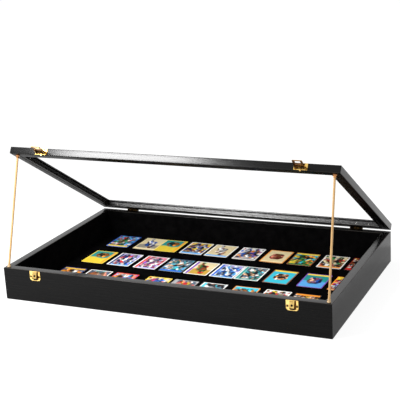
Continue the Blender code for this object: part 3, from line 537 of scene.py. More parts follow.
def make_floor_pad():
    """Grid over the floor. Over the last millimetre the height falls as a quarter
    circle. It waves by a tenth of a millimetre, and lies low enough to stay in the solid."""
    low, high = standing_box("felt_floor_pad")
    edge, wave, sink = 0.8 * MM, 0.12 * MM, 0.14 * MM
    x, y = pad_stations(high[0], edge)[:, None], pad_stations(high[1], edge)[None, :]
    share = np.clip(np.minimum(high[0] - np.abs(x), high[1] - np.abs(y)) / edge, 0, 1)
    drop = edge * (1 - np.sqrt(np.clip(1 - (1 - share) ** 2, 0, 1)))
    height = high[2] - drop + (wave * gentle_waves(x, y) * share - sink)
    grid = np.stack(np.broadcast_arrays(x, y, height), axis=-1)
    points, faces, below = closed_sheet(grid, low[2])
    pad = make_piece("floor_pad_felted", points, faces, "base", ("felt_floor_pad",), (below,))
    return outward(pad)


floor_pad = make_floor_pad()
dress(floor_pad, felt)
felt_top = standing_box("felt_floor_pad")[1][2]
print("felt pad corners:", len(floor_pad.data.vertices))

# %% Felt strip round the walls
def make_wall_felt():
    """A thin section with a soft top edge carried round the inner faces. At a corner
    both coordinates move in by the same amount, so the strip turns square."""
    low, high = standing_box("felt_wall_lining")
    thick, soft = 1.5 * MM, 0.45 * MM
    strip_corners = [(0, low[2], 0), (thick, low[2], 0), (thick, high[2], soft), (0, high[2], soft)]
    outline, _ = section(strip_corners, steps=4)
    corners = np.array([(1, 1), (-1, 1), (-1, -1), (1, -1)], dtype=float)
    pieces_per_side = 20
    share = np.arange(pieces_per_side)[:, None] / pieces_per_side
    grid = []
    for start, end in zip(corners, np.roll(corners, -1, axis=0)):
        direction = start * (1 - share) + end * share
        side = np.empty((pieces_per_side, len(outline), 3))
        reach = high[None, None, :2] - outline[None, :, 0, None]
        side[..., :2] = direction[:, None, :] * reach
        side[..., 2] = outline[None, :, 1]
        grid.append(side)
    grid = np.concatenate(grid)
    rows, columns = grid.shape[:2]
    faces = grid_faces(rows, columns, round_rows=True, round_columns=True)
    strip = make_piece("wall_lining_felted", grid.reshape(-1, 3), faces, "base",
                       ("felt_wall_lining",))
    return outward(strip)


wall_felt = make_wall_felt()
dress(wall_felt, felt)
print("felt strip corners:", len(wall_felt.data.vertices))

# %% [markdown]
# ## Underside panel
# The bottom is a thin hardboard panel, stained black. Nobody sees it in use, so
# the solid stays and only gets hardboard's fine pressed mottle.

# %% Panel
def make_board():
    """Stained hardboard: fine fibres times broader flakes make its mottle."""
    finish, tree, shader = new_finish("black_board", (0.020, 0.019, 0.018), 0.62)
    fibre = stretched_noise(tree, "Object", (420, 420, 420), 4.0)
    flakes = stretched_noise(tree, "Object", (70, 90, 70), 3.0)
    mottle = spread(tree, arithmetic(tree, "MULTIPLY", fibre, flakes), 0.15, 0.42)
    colour = blend_colours(tree, mottle, (0.010, 0.009, 0.008), (0.042, 0.036, 0.030))
    tree.links.new(colour, shader.inputs["Base Color"])
    tree.links.new(spread(tree, fibre, 0.3, 0.7, 0.5, 0.75), shader.inputs["Roughness"])
    dent(tree, shader, fibre, 0.2 * MM, 0.5)
    return finish


dress(nodes["bottom_panel"], make_board())
print("panel done")

# %% [markdown]
# ## The pane
# A clear sheet seen at a grazing angle would mirror strongly if it were
# perfect. This one lets nearly everything through, so the shader is almost
# transparent, with a thin share of gloss that carries a few wiping streaks. Its
# own colour is nearly black, because clear glass scatters no light: a pale
# colour would lie over the dark felt like dust.

# %% Pane
def make_clear_pane():
    """A nearly transparent sheet whose gloss changes in long wiping streaks."""
    finish, tree, shader = new_finish("clear_pane", (0.06, 0.08, 0.08), 0.06,
                                      Alpha=0.012, Specular_IOR_Level=0.5)
    wiped = stretched_noise(tree, "Object", (5, 60, 60), 3.0)
    tree.links.new(spread(tree, wiped, 0.35, 0.75, 0.03, 0.16), shader.inputs["Roughness"])
    dent(tree, shader, stretched_noise(tree, "Object", (6, 6, 6), 1.0), 0.3 * MM, 0.1)
    return finish


dress(nodes["lid_pane"], make_clear_pane())
print("pane done")

# %% [markdown]
# ## Brass, copper and steel
# The hasps, catches and hinges are stamped from thin polished brass. Polish
# leaves long hair scratches, and handling leaves browner, duller clouds. Both
# only change roughness and tint a little, so the metal keeps its mirror. The
# catches are the brightest, and painted shade darkens their corners: brown
# beside the pressed-out tongue, and nearly black under it, in its hole and round
# the nails. The hasps get a browner brass, and the hinges, the nails and the
# hasps' pins the same graph in darker brass. The little brads in the beads are
# steel, and the caps of the rods are copper.

# %% Metal finish
def make_metal(name, bright, dull, smooth, rough, scratch_scale, cover=(0.46, 0.74)):
    """Polished metal. The tarnish covers where slow noise lies above the cover's limits."""
    finish, tree, shader = new_finish(name, bright, smooth, 1.0)
    clouds = stretched_noise(tree, "Object", (150, 150, 150), 3.0)
    scratches = stretched_noise(tree, "Object", scratch_scale, 2.0, 0.7)
    cloudy = spread(tree, clouds, *cover)
    tree.links.new(blend_colours(tree, cloudy, bright, dull), shader.inputs["Base Color"])
    dulling = arithmetic(tree, "ADD", spread(tree, clouds, 0.35, 0.75, smooth, rough),
                         spread(tree, scratches, 0.55, 0.80, 0.0, 0.10))
    tree.links.new(dulling, shader.inputs["Roughness"])
    dent(tree, shader, scratches, 0.02 * MM, 0.35)
    return finish


steel = make_metal("bright_steel", (0.62, 0.60, 0.56), (0.30, 0.27, 0.24), 0.20, 0.45, (900, 3000, 900))
copper = make_metal("copper_cap", (0.52, 0.24, 0.09), (0.15, 0.065, 0.028), 0.18, 0.42, (700, 700, 2600))
print("finishes:", steel.name, copper.name)

# %% Painted shade in a catch's corners
catch_low, catch_high = standing_box("catch_plate_right")
catch_x = (catch_low[0] + catch_high[0]) / 2
# colours of the painted shade: brown beside the tongue, nearly black under it
SHADED_BROWN, DEEP_SHADE_BROWN = (0.075, 0.028, 0.004), (0.014, 0.008, 0.004)
# painted shade zones: left and right from the catch's middle, and low and high above the table, in mm, and
# the colour
CATCH_SHADE_ZONES = ((5.0, 9.8, 58.0, 79.4, SHADED_BROWN), (-5.9, 6.4, 56.8, 62.9, DEEP_SHADE_BROWN))
# painted shade spots in the tongue's hole and round the nails: how far from the catch's middle, height
# above the table and radius, in mm
CATCH_SHADE_SPOTS = ((0.0, 68.3, 2.9), (11.0, 65.9, 3.0))


def band(tree, value, low, high, soft=0.6 * MM):
    """1 where the value lies between low and high, 0 outside, with soft edges."""
    above, below = spread(tree, value, low, low + soft), spread(tree, value, high, high - soft)
    return arithmetic(tree, "MULTIPLY", above, below)


def paint_catch_shade(finish):
    """Paints shade into a catch's corners: brown beside the tongue, where the plate
    lies in its shade, and nearly black below it, in its hole and round the nails.
    Each is a zone or a spot, measured from the middle of the catch it lies on."""
    tree = finish.node_tree
    shader = tree.nodes["Principled BSDF"]
    colour = shader.inputs["Base Color"].links[0].from_socket
    coordinates = add_node(tree, "ShaderNodeTexCoord").outputs["Object"]
    place = add_node(tree, "ShaderNodeSeparateXYZ", {0: coordinates})
    x, height = place.outputs["X"], place.outputs["Z"]
    middle = arithmetic(tree, "MULTIPLY", arithmetic(tree, "SIGN", x), catch_x)
    across = arithmetic(tree, "SUBTRACT", x, middle)
    for left, right, low, high, tint in CATCH_SHADE_ZONES:
        sideways = band(tree, across, left * MM, right * MM)
        upright = band(tree, height, low * MM, high * MM)
        zone = arithmetic(tree, "MULTIPLY", sideways, upright)
        colour = blend_colours(tree, zone, colour, tint)
    here = add_node(tree, "ShaderNodeCombineXYZ", {0: arithmetic(tree, "ABSOLUTE", across), 1: height})
    for sideways, up, radius in CATCH_SHADE_SPOTS:
        ends = {0: here.outputs[0], 1: (sideways * MM, up * MM, 0)}
        away = add_node(tree, "ShaderNodeVectorMath", ends, operation="DISTANCE").outputs["Value"]
        spot = spread(tree, away, radius * MM, 0.8 * radius * MM)
        colour = blend_colours(tree, spot, colour, DEEP_SHADE_BROWN)
    tree.links.new(colour, shader.inputs["Base Color"])


print(f"catches {catch_x * 1000:.1f} mm left and right of the middle")

# %% Brass, and which solid gets which metal
ALONG_SHEET = (2600, 300, 2600)
brass = make_metal("polished_brass", (0.80, 0.54, 0.16), (0.26, 0.14, 0.035), 0.10, 0.30,
                   ALONG_SHEET, cover=(0.43, 0.62))
catch_brass = make_metal("catch_brass", (0.86, 0.60, 0.20), (0.38, 0.21, 0.05), 0.08, 0.24,
                         ALONG_SHEET, cover=(0.48, 0.68))
# the catches get painted shade in the corners round their tongues and nails
paint_catch_shade(catch_brass)
# darker copies of the brass graph: a browner one for the hasps, and a darker one still for the hinges, the
# nails and the hasps' pins
brown_brass = make_metal("brown_hasp_brass", (0.42, 0.225, 0.058), (0.09, 0.045, 0.014), 0.12, 0.34,
                         ALONG_SHEET, cover=(0.38, 0.58))
dark_brass = make_metal("dark_brass", (0.20, 0.115, 0.036), (0.012, 0.008, 0.005), 0.30, 0.55,
                        (1800, 700, 1800), cover=(0.36, 0.50))
METALS = {
    "bead_brad": steel, "hinge": dark_brass, "hasp_pin": dark_brass, "hasp_nail": dark_brass,
    "catch_nail": dark_brass, "hasp_plate": brass, "hasp": brown_brass, "catch_plate": catch_brass,
}
for name, solid in sorted(nodes.items()):
    finish = next((METALS[start] for start in METALS if name.startswith(start)), None)
    if finish:
        dress(solid, finish)
print("metal solids:", sum(solid.data.materials[0] in METALS.values() for solid in nodes.values()))

# %% [markdown]
# ## Prop rods
# Each rod is a plain turned dowel with a pressed copper cap above and a flared
# foot below. A turned piece is a radius that changes with height, spun about an
# axis. The cap's top and the foot's underside are cut slanting, to sit flat on
# the lid and the rim, so those two rings slide along the rod until they meet
# the plane that they rest on.

# %% Turned pieces along the rod
lid_under = swing(np.array([0, 0, lid_bottom]), lid_angle)


def rod_line(side):
    """Where the rod's axis meets the rim and the lid's underside, and its radius.
    The axis is the longest direction of the rod's solid."""
    points = solid_points(f"prop_rod_{side}")
    middle = (points.min(axis=0) + points.max(axis=0)) / 2
    axis = np.linalg.svd(points - points.mean(axis=0), full_matrices=False)[2][0]
    axis = axis * np.sign(axis[2])
    foot = middle + axis * (case_height - middle[2]) / axis[2]
    cap = middle + axis * ((lid_under - middle) @ lid_up) / (axis @ lid_up)
    off_axis = points - middle - ((points - middle) @ axis)[:, None] * axis
    return foot, cap, np.linalg.norm(off_axis, axis=1).max()


def spun(start, axis, profile, normal=None, turns=48):
    """Grid of a turned piece from rows (distance s along the axis, radius r, share w). A
    ring with w = 0 is square to the axis. With w = 1 each of its points has slid along
    the axis until the ring is parallel to the plane with this normal."""
    across = np.cross(axis, (1.0, 0, 0))
    across /= np.linalg.norm(across)
    beyond = np.cross(axis, across)
    angle = np.linspace(0, 2 * math.pi, turns, endpoint=False)
    spokes = np.cos(angle)[:, None] * across + np.sin(angle)[:, None] * beyond
    rim = profile[:, 1][:, None, None] * spokes[None]
    along = np.repeat(profile[:, 0][:, None], turns, axis=1)
    if normal is not None:
        along = along - profile[:, 2][:, None] * (rim @ normal) / (axis @ normal)
    return start + along[..., None] * axis + rim


def make_turned(name, grid, body, stands_for, finish):
    """A turned piece, closed by a flat face at each end. Its map runs along it in
    metres and once round it from 0 to 1."""
    rows, turns = grid.shape[:2]
    length = np.linalg.norm(grid[-1].mean(axis=0) - grid[0].mean(axis=0))
    around, along = np.meshgrid(np.linspace(0, 1, turns), np.linspace(0, length, rows))
    uv = np.stack([along, around], axis=-1).reshape(-1, 2)
    ends = (np.arange(turns), (rows - 1) * turns + np.arange(turns)[::-1])
    faces = grid_faces(rows, turns, round_columns=True)
    piece = make_piece(name, grid.reshape(-1, 3), faces, body, stands_for, ends, uv)
    outward(piece)
    dress(piece, finish)
    return piece


print("left rod from", *(tuple(end.round(4)) for end in rod_line("left")[:2]))

# %% Dowel and foot finishes
def make_dowel_wood():
    """Pale, lightly sealed wood with darker streaks along the rod."""
    finish, tree, shader = new_finish("pale_dowel", (0.60, 0.38, 0.16), 0.42,
                                      Coat_Weight=0.10, Coat_Roughness=0.25)
    streaks = stretched_noise(tree, "UV", (14, 26, 1), 5.0)
    fine = stretched_noise(tree, "UV", (90, 60, 1), 3.0)
    grain = add_share(tree, arithmetic(tree, "MULTIPLY", streaks, 0.7), fine, 0.3)
    colour = blend_colours(tree, spread(tree, grain, 0.36, 0.66), (0.62, 0.40, 0.17), (0.41, 0.215, 0.070))
    tree.links.new(colour, shader.inputs["Base Color"])
    tree.links.new(spread(tree, fine, 0.3, 0.7, 0.34, 0.55), shader.inputs["Roughness"])
    dent(tree, shader, grain, 0.08 * MM, 0.5)
    return finish


def make_foot_wood():
    """Stained wood that shows its rings across the foot."""
    finish, tree, shader = new_finish("stained_foot", (0.50, 0.34, 0.18), 0.45)
    rings = stretched_noise(tree, "Object", (160, 160, 900), 4.0)
    colour = blend_colours(tree, spread(tree, rings, 0.35, 0.68), (0.60, 0.42, 0.22), (0.30, 0.18, 0.08))
    tree.links.new(colour, shader.inputs["Base Color"])
    dent(tree, shader, rings, 0.1 * MM, 0.4)
    return finish


dowel_wood, foot_wood = make_dowel_wood(), make_foot_wood()
print("finishes:", dowel_wood.name, foot_wood.name)

# %% The rods themselves
# each row holds the distance along the rod and the radius in mm, and the share
CAP_ROWS = np.array([
    [-4.4, 2.8, 0], [-6.5, 2.8, 0], [-6.5, 3.35, 0], [-6.35, 3.6, 0], [-5.9, 3.62, 0],
    [-5.5, 3.5, 0], [-3.2, 3.5, 0.2], [-2.3, 3.6, 0.6], [-1.8, 3.85, 0.9], [-1.5, 4.3, 1],
    [-1.5, 4.8, 1], [-1.35, 5.1, 1], [-1.0, 5.2, 1], [-0.6, 5.1, 1], [-0.35, 4.8, 1],
]) * (MM, MM, 1)
FOOT_ROWS = np.array([
    [0.35, 4.3, 1], [0.5, 4.55, 1], [0.8, 4.6, 0.9], [1.3, 4.35, 0.6], [1.9, 3.9, 0.3], [2.5, 3.65, 0.1],
    [3.2, 3.6, 0], [5.5, 3.6, 0], [5.85, 3.5, 0], [6.0, 3.3, 0], [6.0, 2.8, 0], [4.0, 2.8, 0],
]) * (MM, MM, 1)
IN_FOOT, IN_CAP = 2.4 * MM, 2.9 * MM
UNEVEN = 0.02 * MM


def make_prop(side):
    """A rod with its foot and cap. The rod's ends stay short of the rim and the lid,
    inside the foot and the cap, and its radius waves by a few hundredths of a millimetre."""
    foot, cap, radius = rod_line(side)
    length = np.linalg.norm(cap - foot)
    axis = (cap - foot) / length
    body = f"prop_{side}"
    along = np.linspace(IN_FOOT, length - IN_CAP, 40)
    rod = np.stack([along, radius - UNEVEN + UNEVEN * np.sin(along * 90), np.zeros(40)], axis=1)
    rod_grid = spun(foot, axis, rod)
    make_turned(f"prop_rod_{side}_turned", rod_grid, body, (f"prop_rod_{side}",), dowel_wood)
    foot_grid = spun(foot, axis, FOOT_ROWS, np.array([0, 0, 1.0]))
    make_turned(f"prop_foot_{side}_turned", foot_grid, body, (f"prop_foot_{side}",), foot_wood)
    cap_grid = spun(cap, axis, CAP_ROWS, lid_up)
    make_turned(f"prop_cap_{side}_pressed", cap_grid, body, (f"prop_cap_{side}",), copper)
    return length


for side in ("left", "right"):
    print(f"prop {side}: {make_prop(side) * 1000:.0f} mm")

# %% [markdown]
# ## Brads in the back bead
# The back bead carries two more brads than the solids have, further in from
# each end. A brad's head is a small dome, one more turned profile.

# %% Extra brads
HEAD_RADIUS, HEAD_HEIGHT, HEAD_GAP = 1.0 * MM, 0.3 * MM, 0.3 * MM
SHANK_RADIUS, SHANK_LENGTH = 0.5 * MM, 1.5 * MM
BRAD_HEIGHT = 5.4 * MM
LEFT_INSET, RIGHT_INSET = 128 * MM, 84 * MM


def make_brad(name, x):
    """A shank and a flat dome, spun about a line that points forward from the bead."""
    rise = np.linspace(0, math.pi / 2, 6)[:-1]
    dome = np.stack([HEAD_HEIGHT * np.sin(rise), HEAD_RADIUS * np.cos(rise)], axis=1)
    rings = np.vstack([[[-SHANK_LENGTH, SHANK_RADIUS]], [[0.0, SHANK_RADIUS]], dome])
    start = np.array([x, half_depth - rail - HEAD_GAP, lid_bottom + BRAD_HEIGHT])
    grid = swing(spun(start, np.array([0, -1.0, 0]), rings, turns=12), lid_angle)
    return make_turned(name, grid, "lid", (), steel)


brad_places = (LEFT_INSET - half_width, half_width - RIGHT_INSET)
extra_brads = [make_brad(f"bead_brad_{number}", x) for number, x in enumerate(brad_places, 9)]
print("extra brads:", *(brad.name for brad in extra_brads))

# %% [markdown]
# ## Cards
# Three rows of cards lie loose on the felt. Each is a thin sheet with rounded
# corners and a slight bow. Their prints are generic: a border, a ground in two
# colours, a patchwork of small irregular fields in the card's own colours, and
# a title bar with nothing written in it. The print is worked out from the
# card's own map as a colour for each point of its grid.

# %% Colours and designs
COLOURS = {
    "white": (0.95, 0.94, 0.91), "cream": (0.90, 0.76, 0.44), "stone": (0.36, 0.34, 0.27),
    "grey": (0.38, 0.38, 0.39), "black": (0.012, 0.012, 0.016), "navy": (0.012, 0.025, 0.15),
    "blue": (0.02, 0.13, 0.62), "sky": (0.12, 0.44, 0.88), "cyan": (0.05, 0.60, 0.76),
    "teal": (0.02, 0.33, 0.31), "green": (0.03, 0.26, 0.07), "yellow": (0.92, 0.68, 0.06),
    "gold": (0.66, 0.40, 0.06), "orange": (0.88, 0.30, 0.03), "brown": (0.28, 0.09, 0.03),
    "tan": (0.62, 0.38, 0.18), "peach": (0.90, 0.50, 0.28), "red": (0.72, 0.03, 0.03),
    "maroon": (0.24, 0.015, 0.015), "pink": (0.85, 0.24, 0.36), "purple": (0.20, 0.06, 0.42),
    "lilac": (0.44, 0.38, 0.84), "slate": (0.10, 0.15, 0.22), "salmon": (0.80, 0.30, 0.20),
}
print("colours:", len(COLOURS))

# %% The rows of cards
# left edge in mm from the tray's left side, border, upper ground, lower ground, fields, bar,
# where the bar lies, where the fields lie
BACK_ROW = [
    (59.0, "blue", "sky", "white", "teal brown red white sky green", "yellow", "foot", "wide"),
    (141.2, "cream", "cream", "stone", "white blue white brown", "cream", "foot", "tall"),
    (201.8, "yellow", "teal", "yellow", "brown orange black teal", "orange", "right", "high"),
    (278.5, "white", "yellow", "navy", "blue white orange brown navy yellow", "sky", "foot", "wide"),
    (350.4, "white", "cream", "cream", "white maroon white grey tan", "sky", "foot", "tall"),
    (429.4, "white", "white", "peach", "white blue orange slate purple white", "grey", "foot", "wide"),
    (506.0, "orange", "cream", "cream", "maroon brown maroon salmon", "cream", "foot", "round"),
    (579.1, "brown", "cyan", "green", "navy cyan orange green yellow", "yellow", "head", "wide"),
    (656.8, "white", "cream", "brown", "brown green red white black cream", "orange", "foot", "wide"),
    (731.0, "maroon", "brown", "red", "gold maroon brown white", "red", "foot", "wide"),
]
MIDDLE_ROW = [
    (56.4, "yellow", "teal", "yellow", "brown orange black gold", "orange", "right", "high"),
    (132.3, "white", "lilac", "sky", "white blue lilac red navy white", "navy", "left", "wide"),
    (209.5, "white", "pink", "lilac", "white red pink slate purple white", "red", "left", "wide"),
    (283.6, "slate", "slate", "sky", "teal peach white cyan slate slate", "blue", "foot", "wide"),
    (353.2, "white", "cream", "gold", "green orange brown red green", "purple", "left", "tall"),
    (423.7, "white", "lilac", "sky", "white blue navy slate white sky", "blue", "left", "wide"),
    (488.8, "white", "slate", "teal", "teal white cyan slate black peach", "teal", "left", "wide"),
    (565.5, "brown", "cyan", "cyan", "brown orange peach black white", "yellow", "head", "round"),
    (651.9, "purple", "teal", "sky", "blue peach brown pink navy", "yellow", "head", "round"),
    (729.0, "orange", "yellow", "white", "white red yellow brown blue", "brown", "foot", "wide"),
]
FRONT_ROW = [
    (38.4, "navy", "slate", "navy", "orange gold brown white navy", "gold", "head", "wide"),
    (114.3, "white", "slate", "salmon", "salmon brown slate tan teal", "slate", "foot", "wide"),
    (189.3, "red", "salmon", "orange", "sky blue white orange red", "blue", "foot", "wide"),
    (282.5, "yellow", "cream", "white", "yellow sky white blue red", "white", "foot", "wide"),
    (353.7, "grey", "slate", "red", "yellow red grey white salmon", "grey", "left", "wide"),
    (429.8, "white", "black", "slate", "cyan slate white black brown", "cyan", "left", "wide"),
    (514.5, "orange", "cyan", "orange", "brown orange cyan black", "cyan", "head", "wide"),
    (592.9, "white", "white", "red", "yellow red green white", "red", "foot", "wide"),
    (666.1, "black", "black", "brown", "orange brown gold white", "orange", "head", "wide"),
]
# the row's cards, how far behind the tray's front their upper edges lie in the middle, in mm,
# and how much nearer the front they lie at the right end
ROWS = {
    "back": (BACK_ROW, 477.8, 5.0),
    "middle": (MIDDLE_ROW, 343.6, 8.0),
    "front": (FRONT_ROW, 211.0, 4.5),
}
print("cards:", sum(len(row[0]) for row in ROWS.values()))

# %% Small fields
CARD_WIDTH, CARD_LENGTH = 63.5 * MM, 88.9 * MM
FIELD_STRETCH = 1.5
LARGE_FIELD, SMALL_FIELD, SHADE_FIELD = 10.5 * MM, 6.5 * MM, 7.5 * MM


def inside(distance, softness=0.35 * MM):
    """1 inside a shape and 0 outside it, from the signed distance to its outline."""
    return np.clip(0.5 - distance / (2 * softness), 0, 1)[..., None]


def patch_number(x, y, size, seed, count):
    """Which of count colours an irregular small field has: the whole parts of two wavy
    coordinates name the field, and a product with a large odd number scatters them.
    A field is half as high again as it is wide."""
    x, y = x / size, y / FIELD_STRETCH / size
    across = x + 0.6 * np.sin(0.9 * y + seed) + 0.3 * np.sin(2.3 * y + 2 * seed)
    upward = y + 0.6 * np.sin(1.1 * x + 3 * seed) + 0.3 * np.sin(2.7 * x + seed)
    column, row = np.floor(across).astype(np.int64), np.floor(upward).astype(np.int64)
    field = column * 131 + row * 7919 + 100003 * (seed + 9)
    return (field * 2654435761 % 2 ** 32 >> 15) % count


def patchwork_colours(x, y, palette, seed):
    """Large fields, of which every other part is broken up by small ones. A third set
    of fields sets how bright they are, in five steps."""
    large = palette[patch_number(x, y, LARGE_FIELD, seed, len(palette))]
    small = palette[patch_number(x, y, SMALL_FIELD, seed + 5, len(palette))]
    broken = 0.75 * inside(np.sin(x * 190 + seed) * np.sin(y * 150 + 2 * seed) * 3 * MM, 0.6 * MM)
    step = patch_number(x, y, SHADE_FIELD, seed + 11, 5)[..., None]
    return (large * (1 - broken) + small * broken) * (0.28 + 0.22 * step)


def fields_reach(place, x, y):
    """Signed distance from the edge of the part of a card that its small fields cover: a
    round part, a round one that lies high, a leaning oval, or nearly the whole card,
    each with a wavy edge."""
    wavy = 2.5 * MM * np.sin(x * 310 + 1.3) + 2.5 * MM * np.sin(y * 270 + 0.4)
    if place == "round":
        return np.hypot(x, y / 1.2) - 18.5 * MM + wavy * 0.5
    if place == "high":
        return np.hypot(x, (y - 16 * MM) / 0.9) - 19 * MM + wavy * 0.6
    if place == "tall":
        return np.hypot((x + 0.25 * y) / 0.5, y / 1.25) - 27 * MM + 2 * wavy
    return np.maximum(np.abs(x) - 27 * MM, np.abs(y) - 36 * MM) + 1.5 * wavy


print(f"large fields {LARGE_FIELD * 1000:.1f} mm wide, small ones {SMALL_FIELD * 1000:.1f} mm")

# %% A card's print
BORDER_WIDTH, RULE_WIDTH = 2.5 * MM, 1.0 * MM
GROUND_LEVEL, RULE_STRENGTH = 0.8, 0.8
# how far the bar's middle lies from its edge of the card, and half the bar's width
BARS = {
    "foot": (8.0 * MM, 4.0 * MM), "head": (7.0 * MM, 4.0 * MM),
    "right": (6.0 * MM, 2.4 * MM), "left": (7.0 * MM, 3.2 * MM),
}


def paint_over(colour, cover, fresh):
    """A fresh colour over another: none of it where cover is 0, all of it where it is 1."""
    return colour * (1 - cover) + np.asarray(fresh) * cover


def card_print(x, y, design, seed):
    """Colour of each point of a card, x across and y up from its middle. The layers lie
    in this order: two grounds with a wavy line between them, the patchwork, a bar with a
    rule round it, and the border."""
    _, border, high, low, fields, bar, bar_place, fields_place = design
    lower = inside(y + 4 * MM + 3 * MM * np.sin(x * 130 + seed), 3 * MM)
    colour = GROUND_LEVEL * paint_over(np.array(COLOURS[high]), lower, COLOURS[low])
    dark = ["black", "black"] if fields_place == "wide" else ["black"]
    palette = np.array([COLOURS[name] for name in fields.split() + dark])
    cover = inside(fields_reach(fields_place, x, y), 0.8 * MM)
    colour = paint_over(colour, cover, patchwork_colours(x, y, palette, seed))
    from_edge = {"foot": CARD_LENGTH / 2 + y, "head": CARD_LENGTH / 2 - y,
                 "right": CARD_WIDTH / 2 - x, "left": CARD_WIDTH / 2 + x}[bar_place]
    bar_middle, bar_half = BARS[bar_place]
    from_bar = np.abs(from_edge - bar_middle) - bar_half
    colour = paint_over(colour, RULE_STRENGTH * inside(np.abs(from_bar) - RULE_WIDTH / 2), COLOURS[border])
    colour = paint_over(colour, inside(from_bar), COLOURS[bar])
    past_edge = np.maximum(np.abs(x) - CARD_WIDTH / 2, np.abs(y) - CARD_LENGTH / 2)
    return paint_over(colour, inside(-past_edge - BORDER_WIDTH), COLOURS[border])


print("card edge colour:", card_print(np.array([0.0]), np.array([CARD_LENGTH / 2]), BACK_ROW[0], 1)[0])

# %% [markdown]
# The card's surface is a grid whose rows are shortened near the corners by the
# corner circle's own equation, so the rounded corner needs no extra faces. A
# second ring below it and one flat face make the sheet closed.

# %% A card's sheet
CARD_THICKNESS, CARD_CORNER, CARD_LIFT = 0.35 * MM, 2.0 * MM, 0.1 * MM
BOW_ACROSS, BOW_ALONG = 0.22 * MM, 0.12 * MM
CARD_STOCK = (0.62, 0.60, 0.55)


def make_card(name, design, back_edge, turn, seed):
    """Grid of u by v over the card. Near a corner the half width is
    w - r + sqrt(r^2 - d^2), with d how far v lies into the corner."""
    columns, rows = 55, 76
    v = np.linspace(-0.5, 0.5, rows) * CARD_LENGTH
    into = np.clip(np.abs(v) - (CARD_LENGTH / 2 - CARD_CORNER), 0, CARD_CORNER)
    half = CARD_WIDTH / 2 - CARD_CORNER + np.sqrt(CARD_CORNER ** 2 - into ** 2)
    x = np.linspace(-1, 1, columns)[None, :] * half[:, None]
    y = np.repeat(v[:, None], columns, axis=1)
    bow = BOW_ACROSS * (2 * x / CARD_WIDTH) ** 2 + BOW_ALONG * (2 * y / CARD_LENGTH) ** 2
    height = felt_top + CARD_LIFT + CARD_THICKNESS + bow
    middle_x = design[0] * MM - half_width + CARD_WIDTH / 2
    middle_y = back_edge * MM - half_depth - CARD_LENGTH / 2
    grid = np.stack([middle_x + x * math.cos(turn) - y * math.sin(turn),
                     middle_y + x * math.sin(turn) + y * math.cos(turn), height], axis=-1)
    points, faces, below = closed_sheet(grid, height - CARD_THICKNESS)
    piece = make_piece(name, points, faces, "base", ends=(below,), smooth=40)
    outward(piece)
    print_colours = card_print(x, y, design, seed).reshape(-1, 3)
    shades = np.vstack([print_colours, np.tile(CARD_STOCK, (len(below), 1))])
    shades = np.hstack([shades, np.ones((len(shades), 1))])
    layer = piece.data.color_attributes.new("print", "FLOAT_COLOR", "POINT")
    layer.data.foreach_set("color", shades.astype(np.float32).ravel())
    return piece


print(f"a card is {CARD_WIDTH * 1000:.1f} by {CARD_LENGTH * 1000:.1f} mm")

# %% [markdown]
# Card stock is printed, then sealed with a matt varnish: the ink is a little
# uneven, and only a faint gloss lies over it. So the print's colour is shaded by
# a fine noise, and the shader's specular level is low, which keeps the colours
# deep where the cards are seen at a low angle.

# %% Card finish
def make_card_finish():
    """The print's own colour, scaled up and down by a fine and a broader noise."""
    finish, tree, shader = new_finish("printed_card", (0.7, 0.7, 0.7), 0.45, Specular_IOR_Level=0.03)
    ink = add_node(tree, "ShaderNodeAttribute", attribute_name="print").outputs["Color"]
    mottle = stretched_noise(tree, "Object", (900, 900, 900), 3.0)
    clouds = stretched_noise(tree, "Object", (110, 140, 110), 3.0)
    fine, broad = spread(tree, mottle, 0.3, 0.7, 0.90, 1.08), spread(tree, clouds, 0.3, 0.7, 0.90, 1.10)
    shade = arithmetic(tree, "MULTIPLY", fine, broad)
    scaled = add_node(tree, "ShaderNodeVectorMath", {0: ink, 3: shade}, operation="SCALE")
    tree.links.new(scaled.outputs["Vector"], shader.inputs["Base Color"])
    tree.links.new(spread(tree, clouds, 0.3, 0.7, 0.34, 0.52), shader.inputs["Roughness"])
    dent(tree, shader, mottle, 0.02 * MM, 0.4)
    return finish


card_finish = make_card_finish()
print("finish:", card_finish.name)

# %% The cards in their rows
# a row is a gently sloping line, and its cards lie a little askew and up or down on it
for row_name, (row, back_edge, slope) in ROWS.items():
    for number, design in enumerate(row, 1):
        share = (design[0] * MM + CARD_WIDTH / 2) / half_width - 1
        lean = -math.atan(slope * MM / half_width)
        turn = lean + math.radians(0.7 * math.sin(number * 2.4 + back_edge))
        slip = 0.8 * math.sin(number * 5.1 + back_edge)
        card_edge = back_edge + slip - slope * share
        card = make_card(f"card_{row_name}_{number}", design, card_edge, turn, seed=number + len(row_name))
        dress(card, card_finish)
    print(f"{row_name} row: {len(row)} cards")

# %% [markdown]
# ## Floor and background
# The case stands on a plain pale floor with a white background. The floor is an
# ordinary matt surface for the light that falls on the case. Seen by the camera
# it adds enough of its own light to come out white, with only a faint shadow.
# In a mirror, such as the pane or the brass, nearly all its light comes from the
# lamps, so there the shadow beside the case stays dark, as in a real studio.

# %% Floor
FLOOR_HALF, FLOOR_GAP = 12.0, 0.6 * MM
FLOOR_COLOUR = 0.72
# how strong the floor's own light is, and how much of the lamps' light it sends back
IN_MIRRORS, TO_CAMERA = (0.10, 0.95), (0.84, 0.28)


def grey(level):
    """A colour without a hue, as a shader's socket takes it."""
    return (level, level, level, 1)


def in_mirror(tree, path):
    """1 for a ray that a mirror or a clear sheet has sent on, else 0."""
    return arithmetic(tree, "MAXIMUM", path.outputs["Is Glossy Ray"], path.outputs["Is Transmission Ray"])


